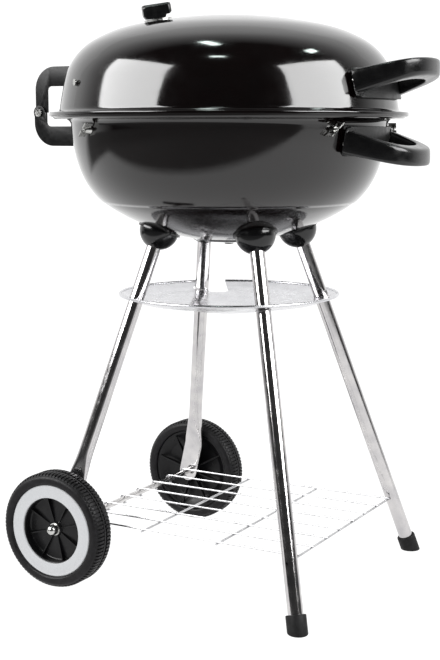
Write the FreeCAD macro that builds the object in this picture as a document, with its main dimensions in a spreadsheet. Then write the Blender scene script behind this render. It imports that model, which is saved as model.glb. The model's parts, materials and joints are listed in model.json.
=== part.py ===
"""Kettle charcoal grill on a four-legged trolley: lid, bowl, grates, legs, wheels, rack and ash catcher.

Frame: +Z up, +X towards the handles, the hinge at -X, the floor at Z = 0 and the origin at the middle of
the floor outline. Every piece is drawn around the kettle's own upright axis, which stands at KETTLE_X.
Lengths are in millimetres and angles in degrees.
"""
import FreeCAD, Part
import os
import re

import Sketcher

SIZES = {
    # kettle rim: the bowl's rolled bead carries the lid's flange
    "rim_radius": 230, "rim_height": 603.8, "sheet_wall": 1.2, "seat_gap": 0.3, "lip_drop": 3.5,
    "bowl_rim_radius": 226, "bead_radius": 3.5,
    # bowl wall, from the neck down; angles are those of the wall from upright
    "bowl_neck_radius": 203.2, "bowl_neck_drop": 14.8, "bowl_neck_angle": 2.2, "bowl_side_arc": 186,
    "bowl_side_angle": 20.3, "bowl_turn_arc": 100.5, "bowl_crease_angle": 48.5, "crease_step": 1.0,
    "crease_turn": 0.8, "bowl_turn_angle": 58.7,
    # lid wall, from the flange up
    "lid_wall_radius": 216.8, "lid_wall_rise": 7.2, "lid_wall_angle": 7.6, "lid_side_arc": 300,
    "lid_side_angle": 15, "lid_shoulder_arc": 75, "lid_shoulder_angle": 59.8, "lid_brow_arc": 166,
    "lid_brow_angle": 77.6,
    # handles and the shields behind them
    "shield_wall": 5, "shield_width": 132, "shield_height": 35, "shield_rim_gap": 17, "shield_corner": 6,
    "handle_width": 146, "handle_corner_width": 118, "handle_tip_width": 50, "handle_depth": 66,
    "handle_corner_depth": 51, "handle_rim_gap": 23, "handle_height": 28, "handle_near_rise": 21,
    "handle_far_rise": 14, "handle_arm": 17, "handle_bar": 19, "handle_edge": 4, "handle_screw_spread": 128,
    "screw_radius": 2.5, "screw_head_radius": 5, "screw_head_height": 3, "hole_fit": 0.3,
    # hinge: two flat arms that lap at a knuckle and a screw through both
    "hinge_reach": 301, "hinge_rise": 3.2, "knuckle_radius": 9.5, "hinge_plate": 3, "hinge_bar": 20,
    "hinge_arm_height": 27, "hinge_upper_rise": 63, "hinge_lower_drop": 46, "hinge_corner": 32,
    "hinge_inner_corner": 6, "hinge_foot_width": 16, "hinge_screw_spread": 18, "pin_radius": 3,
    "running_fit": 0.06, "pin_head_radius": 5.5, "pin_head_height": 2.6, "lap_gap": 0.3,
    # lid vent
    "vent_reach": 99.3, "vent_azimuth": -124.3, "vent_disc_radius": 17.5, "vent_disc_wall": 1.2,
    "vent_hole_radius": 4, "vent_hole_circle": 10.5, "vent_rivet_radius": 2, "vent_travel": 60,
    "knob_length": 33, "knob_width": 15, "knob_height": 11, "knob_stem_height": 7, "knob_stem_length": 18,
    "knob_edge": 3,
    # hook screw on the lid
    "hook_azimuth": -122, "hook_height": 640, "hook_wire": 4, "hook_drop": 22,
    # bowl vent
    "draught_hole_radius": 9, "draught_circle": 26, "draught_disc_radius": 44, "draught_tab_reach": 60,
    "draught_tab_width": 14, "rivet_radius": 3, "rivet_head_radius": 6, "rivet_head_height": 2,
    # grates and their brackets
    "cooking_grate_radius": 196, "grate_ring_wire": 2.5, "grate_wire": 1.5, "cooking_wire_count": 21,
    "charcoal_grate_radius": 163, "charcoal_wire_count": 11, "bracket_front_azimuth": 25,
    "bracket_rear_azimuth": 117, "bracket_drop": 20.3, "bracket_width": 12, "bracket_height": 14,
    "bracket_reach": 13, "bracket_wall": 1.5, "wing_hub_radius": 5, "wing_hub_height": 7, "wing_reach": 10,
    "wing_height": 10, "wing_wall": 1.8, "grate_gap": 0.3,
    # leg sockets
    "socket_circle": 92, "socket_azimuth": 40.5, "socket_radius": 25.5, "socket_lip_radius": 28,
    "socket_lip": 2.2, "leg_top_gap": 2.5,
    # legs
    "leg_radius": 9.5, "leg_wall": 1, "leg_fit": 0.1, "foot_x": 192, "foot_y": 182, "cap_radius": 12.5,
    "cap_height": 22, "cap_floor": 6, "leg_bolt_radius": 3, "leg_bolt_head_radius": 6,
    "leg_bolt_head_height": 4, "leg_insert_length": 18,
    # axle and wheels
    "axle_x": 155, "axle_leg_y": 154, "axle_radius": 4, "leg_flat_wall": 4, "leg_flat_width": 25,
    "leg_flat_length": 20, "leg_turn_length": 20, "wheel_radius": 75, "wheel_width": 36, "wheel_inner_y": 159,
    "tyre_wall": 15, "tyre_groove": 2, "trim_outer_radius": 60, "trim_inner_radius": 43, "trim_wall": 1.5,
    "hub_recess": 13, "hub_web": 3, "hub_rim_wall": 3, "hub_boss_radius": 9, "hub_rib_count": 8,
    "hub_rib_wall": 2, "hub_inner_rise": 5, "cap_nut_radius": 7, "cap_nut_length": 12, "washer_radius": 8,
    "washer_wall": 1,
    # wire rack
    "rack_wire": 1.2, "rack_bar": 1.5, "rack_width": 286, "rack_wire_count": 8,
    "rack_overhang": 3, "rack_weld": 0.3, "rack_leg_reach": 166,
    # ash catcher
    "ash_rim_radius": 145, "ash_rim_height": 371, "ash_bead": 1.8, "ash_shelf_radius": 122,
    "ash_shelf_drop": 8, "ash_floor_radius": 50, "ash_floor_drop": 20, "ash_wall": 1, "ash_leg_gap": 0.6,
    "ash_notch_azimuth": 126.5, "ash_notch_width": 28, "ash_notch_radius": 100, "ash_notch_corner": 9,
}
WORD = re.compile(r"[A-Za-z_]\w*")

doc = FreeCAD.newDocument("kettle_grill")
sheet = doc.addObject("Spreadsheet::Sheet", "Sizes")
for row, (alias, number) in enumerate(SIZES.items(), start=1):
    sheet.set(f"A{row}", alias)
    sheet.set(f"B{row}", str(number))
    sheet.setAlias(f"B{row}", alias)
doc.recompute()


# ---------------------------------------------------------------- formulas

def bound(formula):
    """The formula with each size's name pointed at its cell in the sheet."""
    return WORD.sub(lambda word: f"Sizes.{word[0]}" if word[0] in SIZES else word[0], str(formula))


def value(formula):
    """The number that a formula gives now."""
    return float(sheet.evalExpression(bound(formula)))


def count(alias):
    """A size that is a number of pieces."""
    return int(round(value(alias)))


class Wall:
    """Upright section of a round shell: tangent arcs from the rim, closed by a cap on the kettle's axis.

    side is 1 for a wall that climbs and -1 for one that goes down. Radii, heights and angles are formulas.
    """

    def __init__(self, radius, height, angle, side):
        self.radius, self.height, self.angle, self.side = radius, height, angle, side
        self.arcs = []

    def bend(self, arc, end_angle):
        """Adds a tangent arc that turns the wall to end_angle from upright."""
        centre_r = f"({self.radius} - ({arc})*cos({self.angle}))"
        centre_z = f"({self.height} - {self.side}*({arc})*sin({self.angle}))"
        self.arcs.append((centre_r, centre_z, arc, self.angle, end_angle))
        self.move_to(centre_r, centre_z, arc, end_angle)

    def step_in(self, arc, depth, end_angle):
        """Moves the wall inward by depth on the last arc's centre, and returns the new arc radius."""
        centre_r, centre_z = self.arcs[-1][:2]
        self.move_to(centre_r, centre_z, f"({arc} - {depth})", end_angle)
        return f"({arc} - {depth})"

    def move_to(self, centre_r, centre_z, arc, angle):
        """Sets the wall's end to a point of an arc."""
        self.radius = f"({centre_r} + ({arc})*cos({angle}))"
        self.height = f"({centre_z} + {self.side}*({arc})*sin({angle}))"
        self.angle = angle

    def close(self):
        """Adds the cap, a part of a sphere centred on the axis."""
        self.bend(f"({self.radius}/cos({self.angle}))", "90")
        self.cap_height, self.cap_arc = self.arcs[-1][1], self.arcs[-1][2]

    def corners(self, offset, arcs=None):
        """Outline corners of the wall moved outward by offset, each arc's start and end, rim first."""
        found = []
        for centre_r, centre_z, arc, start, end in (arcs or self.arcs):
            grown = f"({arc} + {offset})"
            for angle in (start, end):
                across = "0" if angle == "90" else f"{centre_r} + {grown}*cos({angle})"
                along = f"{centre_z} + {self.side}*{grown}*sin({angle})"
                found.append((across, along, f"{self.side}*{grown}"))
        return found

    def outward(self, offset, arcs=None):
        """Outline from the rim to the cap, at offset."""
        found = self.corners(offset, arcs)
        return join_arcs(found)

    def inward(self, offset, arcs=None):
        """Outline from the cap back to the rim, at offset."""
        found = [(x, z, f"-({turn})") for x, z, turn in reversed(self.corners(offset, arcs))]
        return join_arcs(found)

    def radius_at(self, height, offset="0", arc_number=0):
        """Wall radius at a height on one arc."""
        centre_r, centre_z, arc = self.arcs[arc_number][:3]
        return f"({centre_r} + sqrt(({arc} + {offset})^2 - ({height} - {centre_z})^2))"

    def slope_at(self, height, arc_number=0):
        """Angle of the wall from upright at a height on one arc."""
        centre_r, centre_z, arc = self.arcs[arc_number][:3]
        return f"asin({self.side}*({height} - {centre_z})/({arc}))"

    def cap_z(self, reach, offset="0"):
        """Height of the cap at a distance from the axis."""
        return f"({self.cap_height} + {self.side}*sqrt(({self.cap_arc} + {offset})^2 - ({reach})^2))"

    def cap_tilt(self, reach):
        """Slope of the cap at a distance from the axis."""
        return f"asin(({reach})/({self.cap_arc}))"


def join_arcs(ends):
    """Outline corners from pairs of arc ends; an end that meets the next arc's start is kept once."""
    found = []
    for first, second in zip(ends[::2], ends[1::2]):
        if found and near(found[-1], first):
            found.pop()
        found.append(first)
        found.append(second[:2])
    return found


def near(one, other):
    """True where two outline corners are the same point."""
    return abs(value(one[0]) - value(other[0])) + abs(value(one[1]) - value(other[1])) < 1e-6


# ---------------------------------------------------------------- sketches and features

def new_body(label):
    body = doc.addObject("PartDesign::Body", label)
    body.Label = label
    return body


def new_sketch(body, name, plane):
    sketch = body.newObject("Sketcher::SketchObject", name)
    support = [feature for feature in body.Origin.OriginFeatures if feature.Role == plane]
    sketch.AttachmentSupport = [(support[0], "")]
    sketch.MapMode = "FlatFace"
    return sketch


def pin_point(sketch, edge, end, x, y):
    """Ties one end of an edge to the formulas of its place."""
    for kind, formula, axis in (("DistanceX", x, -2), ("DistanceY", y, -1)):
        if formula == "0":
            sketch.addConstraint(Sketcher.Constraint("PointOnObject", edge, end, axis))
            continue
        tie = sketch.addConstraint(Sketcher.Constraint(kind, -1, 1, edge, end, value(formula)))
        sketch.setExpression(f"Constraints[{tie}]", bound(formula))


def arc_between(start, end, turn):
    """Minor arc between two points; a positive turn radius goes round to the left."""
    chord = end - start
    across = FreeCAD.Vector(-chord.y, chord.x, 0).normalize()
    rise = max(turn * turn - chord.Length * chord.Length / 4, 0) ** 0.5
    centre = (start + end) * 0.5 + across * (rise if turn > 0 else -rise)
    first, last = (start, end) if turn > 0 else (end, start)
    circle = Part.Circle(centre, FreeCAD.Vector(0, 0, 1), abs(turn))
    return Part.ArcOfCircle(circle, circle.parameter(first), circle.parameter(last))


def outline(body, name, plane, corners):
    """Closed sketch; a corner with a third formula starts a round edge of that signed radius."""
    sketch = new_sketch(body, name, plane)
    points = [FreeCAD.Vector(value(corner[0]), value(corner[1]), 0) for corner in corners]
    total = len(corners)
    ends = []
    for index, corner in enumerate(corners):
        start, end = points[index], points[(index + 1) % total]
        if len(corner) == 2:
            edge = sketch.addGeometry(Part.LineSegment(start, end))
            ends.append((edge, 1, 2))
        else:
            turn = value(corner[2])
            edge = sketch.addGeometry(arc_between(start, end, turn))
            ends.append((edge, 1, 2) if turn > 0 else (edge, 2, 1))
    for index, corner in enumerate(corners):
        edge, start_end, _ = ends[index]
        last_edge, _, last_end = ends[index - 1]
        sketch.addConstraint(Sketcher.Constraint("Coincident", last_edge, last_end, edge, start_end))
        pin_point(sketch, edge, start_end, corner[0], corner[1])
        if len(corner) == 3:
            radius = corner[2] if value(corner[2]) > 0 else f"-({corner[2]})"
            tie = sketch.addConstraint(Sketcher.Constraint("Radius", edge, value(radius)))
            sketch.setExpression(f"Constraints[{tie}]", bound(radius))
    return sketch


def circles(body, name, plane, rings):
    """Sketch of full circles, each given as the formulas of its centre and radius."""
    sketch = new_sketch(body, name, plane)
    for x, y, radius in rings:
        middle = FreeCAD.Vector(value(x), value(y), 0)
        edge = sketch.addGeometry(Part.Circle(middle, FreeCAD.Vector(0, 0, 1), value(radius)))
        if x == "0" and y == "0":
            sketch.addConstraint(Sketcher.Constraint("Coincident", -1, 1, edge, 3))
        else:
            pin_point(sketch, edge, 3, x, y)
        tie = sketch.addConstraint(Sketcher.Constraint("Radius", edge, value(radius)))
        sketch.setExpression(f"Constraints[{tie}]", bound(radius))
    return sketch


def turned(label, corners, angle="360"):
    """Body turned about its own Z axis from an outline in its XZ plane."""
    body = new_body(label)
    turn = body.newObject("PartDesign::Revolution", f"{label}_turn")
    turn.Profile = outline(body, f"{label}_section", "XZ_Plane", corners)
    turn.ReferenceAxis = (turn.Profile[0], ["V_Axis"])
    turn.Midplane = angle != "360"
    turn.setExpression("Angle", bound(angle))
    return body


def padded(label, corners, plane, length):
    """Body of an outline thickened evenly to both sides of its plane."""
    body = new_body(label)
    pad = body.newObject("PartDesign::Pad", f"{label}_pad")
    pad.Profile = outline(body, f"{label}_outline", plane, corners)
    pad.SideType = "Symmetric"
    pad.setExpression("Length", bound(length))
    return body


def place(thing, spot=("0", "0", "0"), yaw="0", pitch="0", roll="0"):
    """Binds a thing's Placement: turned by roll about X, pitch about Y and yaw about Z, then moved."""
    x, y, z = (bound(formula) for formula in spot)
    turn = f"rotation({bound(yaw)}; {bound(pitch)}; {bound(roll)})"
    thing.setExpression("Placement", f"placement(vector({x}; {y}; {z}); {turn})")
    return thing


def cylinder(name, radius, height, spot=("0", "0", "0"), yaw="0", pitch="0", roll="0"):
    """Round bar from spot along its own Z."""
    rod = doc.addObject("Part::Cylinder", name)
    rod.setExpression("Radius", bound(radius))
    rod.setExpression("Height", bound(height))
    return place(rod, spot, yaw, pitch, roll)


def block(name, length, width, height, spot, yaw="0", pitch="0", roll="0"):
    """Rectangular block from one corner."""
    box = doc.addObject("Part::Box", name)
    box.setExpression("Length", bound(length))
    box.setExpression("Width", bound(width))
    box.setExpression("Height", bound(height))
    return place(box, spot, yaw, pitch, roll)


def ball(name, radius, spot):
    """Full sphere about spot."""
    sphere = doc.addObject("Part::Sphere", name)
    sphere.setExpression("Radius", bound(radius))
    return place(sphere, spot)


def fused(label, members):
    joined = doc.addObject("Part::MultiFuse", label)
    joined.Shapes = members
    joined.Label = label
    return joined


def grouped(label, members):
    """Separate solids kept in one node."""
    group = doc.addObject("Part::Compound", label)
    group.Links = members
    group.Label = label
    return group


def cut(label, base, tools):
    """The base with every tool taken away."""
    result = doc.addObject("Part::Cut", label)
    result.Base = base
    result.Tool = tools[0] if len(tools) == 1 else fused(f"{label}_tools", tools)
    result.Label = label
    return result


def common(label, base, tool):
    result = doc.addObject("Part::Common", label)
    result.Base = base
    result.Tool = tool
    result.Label = label
    return result


def shaped(label, shape):
    """Feature that holds a shape made with Part's own functions."""
    feature = doc.addObject("Part::Feature", label)
    feature.Shape = shape
    feature.Label = label
    return feature


# ---------------------------------------------------------------- shared geometry

BOWL = Wall("bowl_neck_radius", "(rim_height - bowl_neck_drop)", "bowl_neck_angle", -1)
BOWL.bend("bowl_side_arc", "bowl_side_angle")
BOWL.bend("bowl_turn_arc", "bowl_crease_angle")
BELOW_CREASE = BOWL.step_in("bowl_turn_arc", "crease_step", "(bowl_crease_angle + crease_turn)")
BOWL.bend(BELOW_CREASE, "bowl_turn_angle")
BOWL.close()

LID = Wall("lid_wall_radius", "(rim_height + lid_wall_rise)", "lid_wall_angle", 1)
LID.bend("lid_side_arc", "lid_side_angle")
LID.bend("lid_shoulder_arc", "lid_shoulder_angle")
LID.bend("lid_brow_arc", "lid_brow_angle")
LID.close()

SHIELD_FACE = "(seat_gap + shield_wall)"
HANDLE_SEAT = f"({SHIELD_FACE} + seat_gap)"
LID_HANDLE_Z = "(rim_height + handle_rim_gap + handle_height/2)"
BOWL_HANDLE_Z = "(rim_height - handle_rim_gap - handle_height/2)"
LID_REACH = LID.radius_at(LID_HANDLE_Z)
BOWL_REACH = BOWL.radius_at(BOWL_HANDLE_Z)
KETTLE_X = f"((hinge_reach + knuckle_radius) - ({LID_REACH} + handle_depth))/2"

HINGE_Z = "(rim_height + hinge_rise)"
CAP_Z = BOWL.cap_z("socket_circle")
VENT_X = "vent_reach*cos(vent_azimuth)"
VENT_Y = "vent_reach*sin(vent_azimuth)"
VENT_Z = LID.cap_z("vent_reach")
VENT_TILT = LID.cap_tilt("vent_reach")
AXLE_Z = "wheel_radius"
RACK_Z = "(wheel_radius + axle_radius + rack_wire + seat_gap)"
RACK_BAR_Z = f"({RACK_Z} - rack_wire - rack_bar + rack_weld)"
RACK_END_X = f"(foot_x + (socket_circle*cos(socket_azimuth) - foot_x)*{RACK_BAR_Z}/{CAP_Z})"

NODES = []


def node(thing, **where):
    """Keeps a finished piece, standing at the kettle's axis unless it has a place of its own."""
    if where:
        x, y, z = where.pop("spot")
        place(thing, (f"{x} + {KETTLE_X}", y, z), **where)
    else:
        place(thing, (KETTLE_X, "0", "0"))
    NODES.append(thing)
    return thing


def along(distance, azimuth, tilt):
    """Step of a distance in the direction that leans by tilt from upright towards azimuth."""
    flat = f"({distance})*sin({tilt})"
    return f"{flat}*cos({azimuth})", f"{flat}*sin({azimuth})", f"({distance})*cos({tilt})"


def shifted(spot, step):
    return tuple(f"({a}) + ({b})" for a, b in zip(spot, step))


# ---------------------------------------------------------------- kettle shells

def solid_of(name, wall, offset, arcs=None):
    """Filled round solid inside a wall moved by offset, used to seat what lies against the wall."""
    corners = wall.outward(offset)
    first = corners[0]
    return turned(name, [("0", first[1])] + corners)


def wall_layer(name, wall, inner, outer, angle):
    """Part-turn layer on the outside of a wall, between two offsets, up to the cap."""
    arcs = wall.arcs[:2]
    return turned(name, wall.outward(outer, arcs) + wall.inward(inner, arcs), angle)


def radial_hole(name, radius, azimuth, z, start="150", length="120"):
    """Level round tool from inside the kettle out through its wall."""
    spot = (f"{start}*cos({azimuth})", f"{start}*sin({azimuth})", z)
    return cylinder(name, radius, length, spot, azimuth, "90")


def bowl_shell():
    """Bowl of pressed sheet with a rolled bead at the rim and a crease above its round bottom."""
    bead_r = "(bowl_rim_radius - bead_radius)"
    ledge_z = "(rim_height - 2*bead_radius)"
    cove = "(bowl_neck_drop - 2*bead_radius)"
    meet = f"({bead_r} - sqrt(bead_radius^2 - (bead_radius - sheet_wall)^2))"
    corners = [
        (bead_r, "rim_height", "-bead_radius"),
        ("bowl_rim_radius", "rim_height - bead_radius", "-bead_radius"),
        (bead_r, ledge_z),
        (f"bowl_neck_radius + {cove}", ledge_z, cove),
    ]
    corners += BOWL.outward("0")
    corners += BOWL.inward("-sheet_wall")
    corners[-1] = (corners[-1][0], corners[-1][1])
    corners += [
        ("bowl_neck_radius - sheet_wall", "rim_height - bowl_neck_drop", f"-({cove} + sheet_wall)"),
        (f"bowl_neck_radius + {cove}", f"{ledge_z} + sheet_wall"),
        (meet, f"{ledge_z} + sheet_wall", "-bead_radius"),
    ]
    tools = []
    for number in range(3):
        azimuth = f"{number}*120"
        spot = (f"draught_circle*cos({azimuth})", f"draught_circle*sin({azimuth})", f"{BOWL.cap_z('0')} - 10")
        tools.append(cylinder(f"draught_hole_{number}", "draught_hole_radius", "40", spot))
    low = ("0", "0", f"{BOWL.cap_z('0')} - 10")
    tools.append(cylinder("draught_rivet_hole", "rivet_radius + hole_fit", "40", low))
    for number, azimuth in enumerate(leg_azimuths()):
        tools.append(leg_bolt_rod(f"bowl_leg_hole_{number}", "leg_bolt_radius + hole_fit", azimuth, "-20", "40"))
    tools += wall_screw_holes("bowl", BOWL_HANDLE_Z, f"({HINGE_Z} - hinge_lower_drop + hinge_arm_height/2)")
    for number, azimuth in enumerate(bracket_azimuths()):
        tools.append(radial_hole(f"bracket_hole_{number}", "screw_radius + hole_fit", azimuth,
                                 "rim_height - bracket_drop"))
    node(cut("bowl_shell", turned("bowl_pressing", corners), tools))


def wall_screw_holes(name, handle_z, hinge_z):
    """Tools for the two handle screws and the two hinge foot screws of a shell."""
    tools = []
    for number, side in enumerate((-1, 1)):
        y = f"{side}*handle_screw_spread/2"
        tools.append(cylinder(f"{name}_handle_hole_{number}", "screw_radius + hole_fit", "100",
                              ("150", y, handle_z), "0", "90"))
        y = f"{side}*hinge_screw_spread/2"
        tools.append(cylinder(f"{name}_hinge_hole_{number}", "screw_radius + hole_fit", "100",
                              ("-150", y, hinge_z), "180", "90"))
    return tools


def lid_shell():
    """Lid of pressed sheet: flange with a turned-down lip, upright side, round shoulder, low crown."""
    under = "(rim_height + seat_gap)"
    over = f"({under} + sheet_wall)"
    sweep = f"(rim_height + lid_wall_rise - {over})"
    corners = [
        ("rim_radius", "rim_height - lip_drop"),
        ("rim_radius", f"{over} - 1.5*sheet_wall", "1.5*sheet_wall"),
        ("rim_radius - 1.5*sheet_wall", over),
        (f"lid_wall_radius + {sweep}", over, f"-{sweep}"),
    ]
    corners += LID.outward("0")
    corners += LID.inward("-sheet_wall")
    corners += [
        ("lid_wall_radius - sheet_wall", "rim_height + lid_wall_rise", f"{sweep} + sheet_wall"),
        (f"lid_wall_radius + {sweep}", under),
        ("rim_radius - sheet_wall", under),
        ("rim_radius - sheet_wall", "rim_height - lip_drop"),
    ]
    tools = wall_screw_holes("lid", LID_HANDLE_Z, f"({HINGE_Z} + hinge_upper_rise - hinge_arm_height/2)")
    tools.append(vent_rod("lid_vent_rivet_hole", "vent_rivet_radius + hole_fit", "0", "0", "-8", "16"))
    for number in range(4):
        tools.append(vent_rod(f"lid_vent_hole_{number}", "vent_hole_radius", "vent_hole_circle",
                              f"{number}*90", "-8", "16"))
    tools.append(radial_hole("lid_hook_hole", "screw_radius + hole_fit", "hook_azimuth", "hook_height"))
    node(cut("lid_shell", turned("lid_pressing", corners), tools))


# ---------------------------------------------------------------- handles

def shield(label, wall, sign):
    """Curved plate between a handle and the hot wall, with rounded corners."""
    near_z = f"(rim_height + {sign}*shield_rim_gap)"
    low_z = near_z if sign > 0 else f"({near_z} - shield_height)"
    half, round_corner = "shield_width/2", "shield_corner"
    top = f"({low_z} + shield_height)"
    corners = [
        (f"-{half} + {round_corner}", low_z), (f"{half} - {round_corner}", low_z, round_corner),
        (half, f"{low_z} + {round_corner}"), (half, f"{top} - {round_corner}", round_corner),
        (f"{half} - {round_corner}", top), (f"-{half} + {round_corner}", top, round_corner),
        (f"-{half}", f"{top} - {round_corner}"), (f"-{half}", f"{low_z} + {round_corner}", round_corner),
    ]
    window = new_body(f"{label}_window")
    pad = window.newObject("PartDesign::Pad", f"{label}_window_pad")
    pad.Profile = outline(window, f"{label}_window_outline", "YZ_Plane", corners)
    pad.setExpression("Length", bound("rim_radius + shield_wall"))
    layer = wall_layer(f"{label}_layer", wall, "seat_gap", SHIELD_FACE, "60")
    holes = []
    handle_z = LID_HANDLE_Z if sign > 0 else BOWL_HANDLE_Z
    for number, side in enumerate((-1, 1)):
        holes.append(cylinder(f"{label}_hole_{number}", "screw_radius + hole_fit", "100",
                              ("150", f"{side}*handle_screw_spread/2", handle_z), "0", "90"))
    node(cut(label, common(f"{label}_blank", window, layer), holes))


def handle(label, wall, reach, sign):
    """Loop handle: two arms and a grip bar, tapering away from the kettle, seated on its shield."""
    near_z = f"(rim_height + {sign}*handle_rim_gap)"
    far_z = f"({near_z} + {sign}*handle_height)"
    root, tip = f"({reach} - 25)", f"({reach} + handle_depth)"
    near_slope, far_slope = "handle_near_rise/handle_depth", "handle_far_rise/handle_depth"
    side_view = [
        (root, f"{near_z} - {sign}*25*{near_slope}"),
        (f"{tip} - handle_edge", f"{near_z} + {sign}*(handle_near_rise - handle_edge*{near_slope})"),
        (tip, f"{near_z} + {sign}*(handle_near_rise + handle_edge)"),
        (tip, f"{far_z} + {sign}*(handle_far_rise - handle_edge)"),
        (f"{tip} - handle_edge", f"{far_z} + {sign}*(handle_far_rise - handle_edge*{far_slope})"),
        (root, f"{far_z} - {sign}*25*{far_slope}"),
    ]
    if sign < 0:
        side_view.reverse()
    blank = padded(f"{label}_side", side_view, "XZ_Plane", "handle_width + 2")
    shoulder = f"({reach} + handle_corner_depth)"
    half, corner, end = "handle_width/2", "handle_corner_width/2", "handle_tip_width/2"
    loop = [
        (root, f"-{half}"), (f"{reach} - 4", f"-{half}"), (shoulder, f"-{corner}"), (tip, f"-{end}"),
        (tip, end), (shoulder, corner), (f"{reach} - 4", half), (root, half),
    ]
    outer = raised(f"{label}_loop", loop, far_z, sign)
    inner_tip = f"({tip} - handle_bar)"
    gap, gap_tip = f"({half} - handle_arm)", f"({corner} - handle_arm)"
    finger = [(f"{root} - 5", f"-{gap}"), (f"{inner_tip} - 8", f"-{gap_tip}"), (inner_tip, f"-{gap_tip} + 8"),
              (inner_tip, f"{gap_tip} - 8"), (f"{inner_tip} - 8", gap_tip), (f"{root} - 5", gap)]
    opening = raised(f"{label}_gap", finger, far_z, sign)
    seat = solid_of(f"{label}_seat", wall, HANDLE_SEAT)
    holes = [opening, seat]
    handle_z = LID_HANDLE_Z if sign > 0 else BOWL_HANDLE_Z
    for number, side in enumerate((-1, 1)):
        holes.append(cylinder(f"{label}_bore_{number}", "screw_radius + hole_fit/3", f"{reach} - 150 + 25",
                              ("150", f"{side}*handle_screw_spread/2", handle_z), "0", "90"))
    rough = common(f"{label}_rough", blank, outer)
    node(cut(label, rough, holes))


def raised(label, corners, far_z, sign):
    """Upright prism over a plan outline, tall enough for a handle."""
    body = new_body(label)
    pad = body.newObject("PartDesign::Pad", f"{label}_pad")
    pad.Profile = outline(body, f"{label}_plan", "XY_Plane", corners)
    pad.setExpression("Length", bound("3*handle_height"))
    lift = far_z if sign < 0 else f"({far_z} - 2*handle_height)"
    return place(body, ("0", "0", f"{lift} - handle_height/2"))


def handle_screws(label, wall, reach, handle_z):
    """Two pan-head screws from inside a shell, through its shield, into the handle's arms."""
    screws = []
    for number, side in enumerate((-1, 1)):
        y = f"{side}*handle_screw_spread/2"
        inside = f"(sqrt({wall.radius_at(handle_z, '-sheet_wall')}^2 - ({y})^2) - 5.5)"
        head = cylinder(f"{label}_head_{number}", "screw_head_radius", "screw_head_height",
                        (inside, y, handle_z), "0", "90")
        shank = cylinder(f"{label}_shank_{number}", "screw_radius", f"{reach} + 10 - {inside}",
                         (inside, y, handle_z), "0", "90")
        screws.append(fused(f"{label}_{number}", [head, shank]))
    node(grouped(label, screws))


# ---------------------------------------------------------------- hinge

def hinge_arm(label, wall, sign):
    """Flat C-shaped half of the hinge with a knuckle at the pivot and a foot against the kettle."""
    far = "hinge_upper_rise" if sign > 0 else "hinge_lower_drop"
    outer_z = f"({HINGE_Z} + {sign}*{far})"
    inner_z = f"({outer_z} - {sign}*hinge_arm_height)"
    back, front = "(-hinge_reach - 8)", "(-hinge_reach - 8 + hinge_bar)"
    turn = -sign
    corners = [
        (back, HINGE_Z),
        (back, f"{outer_z} - {sign}*hinge_corner", f"{turn}*hinge_corner"),
        (f"{back} + hinge_corner", outer_z),
        ("-150", outer_z),
        ("-150", inner_z),
        (f"{front} + hinge_inner_corner", inner_z, f"{-turn}*hinge_inner_corner"),
        (front, f"{inner_z} - {sign}*hinge_inner_corner"),
        (front, HINGE_Z),
    ]
    if sign < 0:
        corners = [(x, z) for x, z, *turn_radius in corners]
        corners[1] = (back, f"{outer_z} + hinge_corner", "hinge_corner")
        corners[5] = (f"{front} + hinge_inner_corner", inner_z, "-hinge_inner_corner")
    y = f"{sign}*(hinge_plate + lap_gap)/2"
    plate = place(padded(f"{label}_plate", corners, "XZ_Plane", "hinge_plate"), ("0", y, "0"))
    knuckle = cylinder(f"{label}_knuckle", "knuckle_radius", "hinge_plate",
                       ("-hinge_reach", f"{y} + hinge_plate/2", HINGE_Z), "0", "0", "90")
    foot_z = f"({outer_z} - hinge_arm_height)" if sign > 0 else outer_z
    low = f"({foot_z} + 1)"
    foot = block(f"{label}_foot", "60", "hinge_foot_width + hinge_screw_spread", "hinge_arm_height - 2",
                 ("-rim_radius - 10", "-(hinge_foot_width + hinge_screw_spread)/2", low))
    foot_face = solid_of(f"{label}_foot_face", wall, "(seat_gap + hinge_plate)")
    rough_foot = common(f"{label}_foot_shell", foot, foot_face)
    pin = cylinder(f"{label}_pin_hole", "pin_radius + running_fit", "40",
                   ("-hinge_reach", "20", HINGE_Z), "0", "0", "90")
    seat = solid_of(f"{label}_seat", wall, "seat_gap")
    holes = [pin, seat]
    for number, side in enumerate((-1, 1)):
        holes.append(cylinder(f"{label}_hole_{number}", "screw_radius + hole_fit", "100",
                              ("-150", f"{side}*hinge_screw_spread/2", f"{foot_z} + hinge_arm_height/2"),
                              "180", "90"))
    whole = fused(f"{label}_blank", [plate, knuckle, rough_foot])
    node(cut(label, whole, holes))


def hinge_screws(label, wall, sign):
    """Two screws with nuts that hold a hinge foot to the kettle's wall."""
    far = "hinge_upper_rise" if sign > 0 else "hinge_lower_drop"
    z = f"({HINGE_Z} + {sign}*({far} - hinge_arm_height/2))"
    arc_number = 1 if sign > 0 else 0
    reach = wall.radius_at(z, "0", arc_number)
    clear = f"(screw_head_radius*tan({wall.slope_at(z, arc_number)}) + 2*seat_gap)"
    screws = []
    for number, side in enumerate((-1, 1)):
        y = f"{side}*hinge_screw_spread/2"
        start = f"(-({reach}) - seat_gap - hinge_plate - {clear} - screw_head_height)"
        head = cylinder(f"{label}_head_{number}", "screw_head_radius", "screw_head_height",
                        (start, y, z), "0", "90")
        shank = cylinder(f"{label}_shank_{number}", "screw_radius", "18", (start, y, z), "0", "90")
        nut = cylinder(f"{label}_nut_{number}", "screw_head_radius - 0.5", "screw_head_height",
                       (f"-({reach}) + sheet_wall + {clear}", y, z), "0", "90")
        screws.append(fused(f"{label}_{number}", [head, shank, nut]))
    node(grouped(label, screws))


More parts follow.
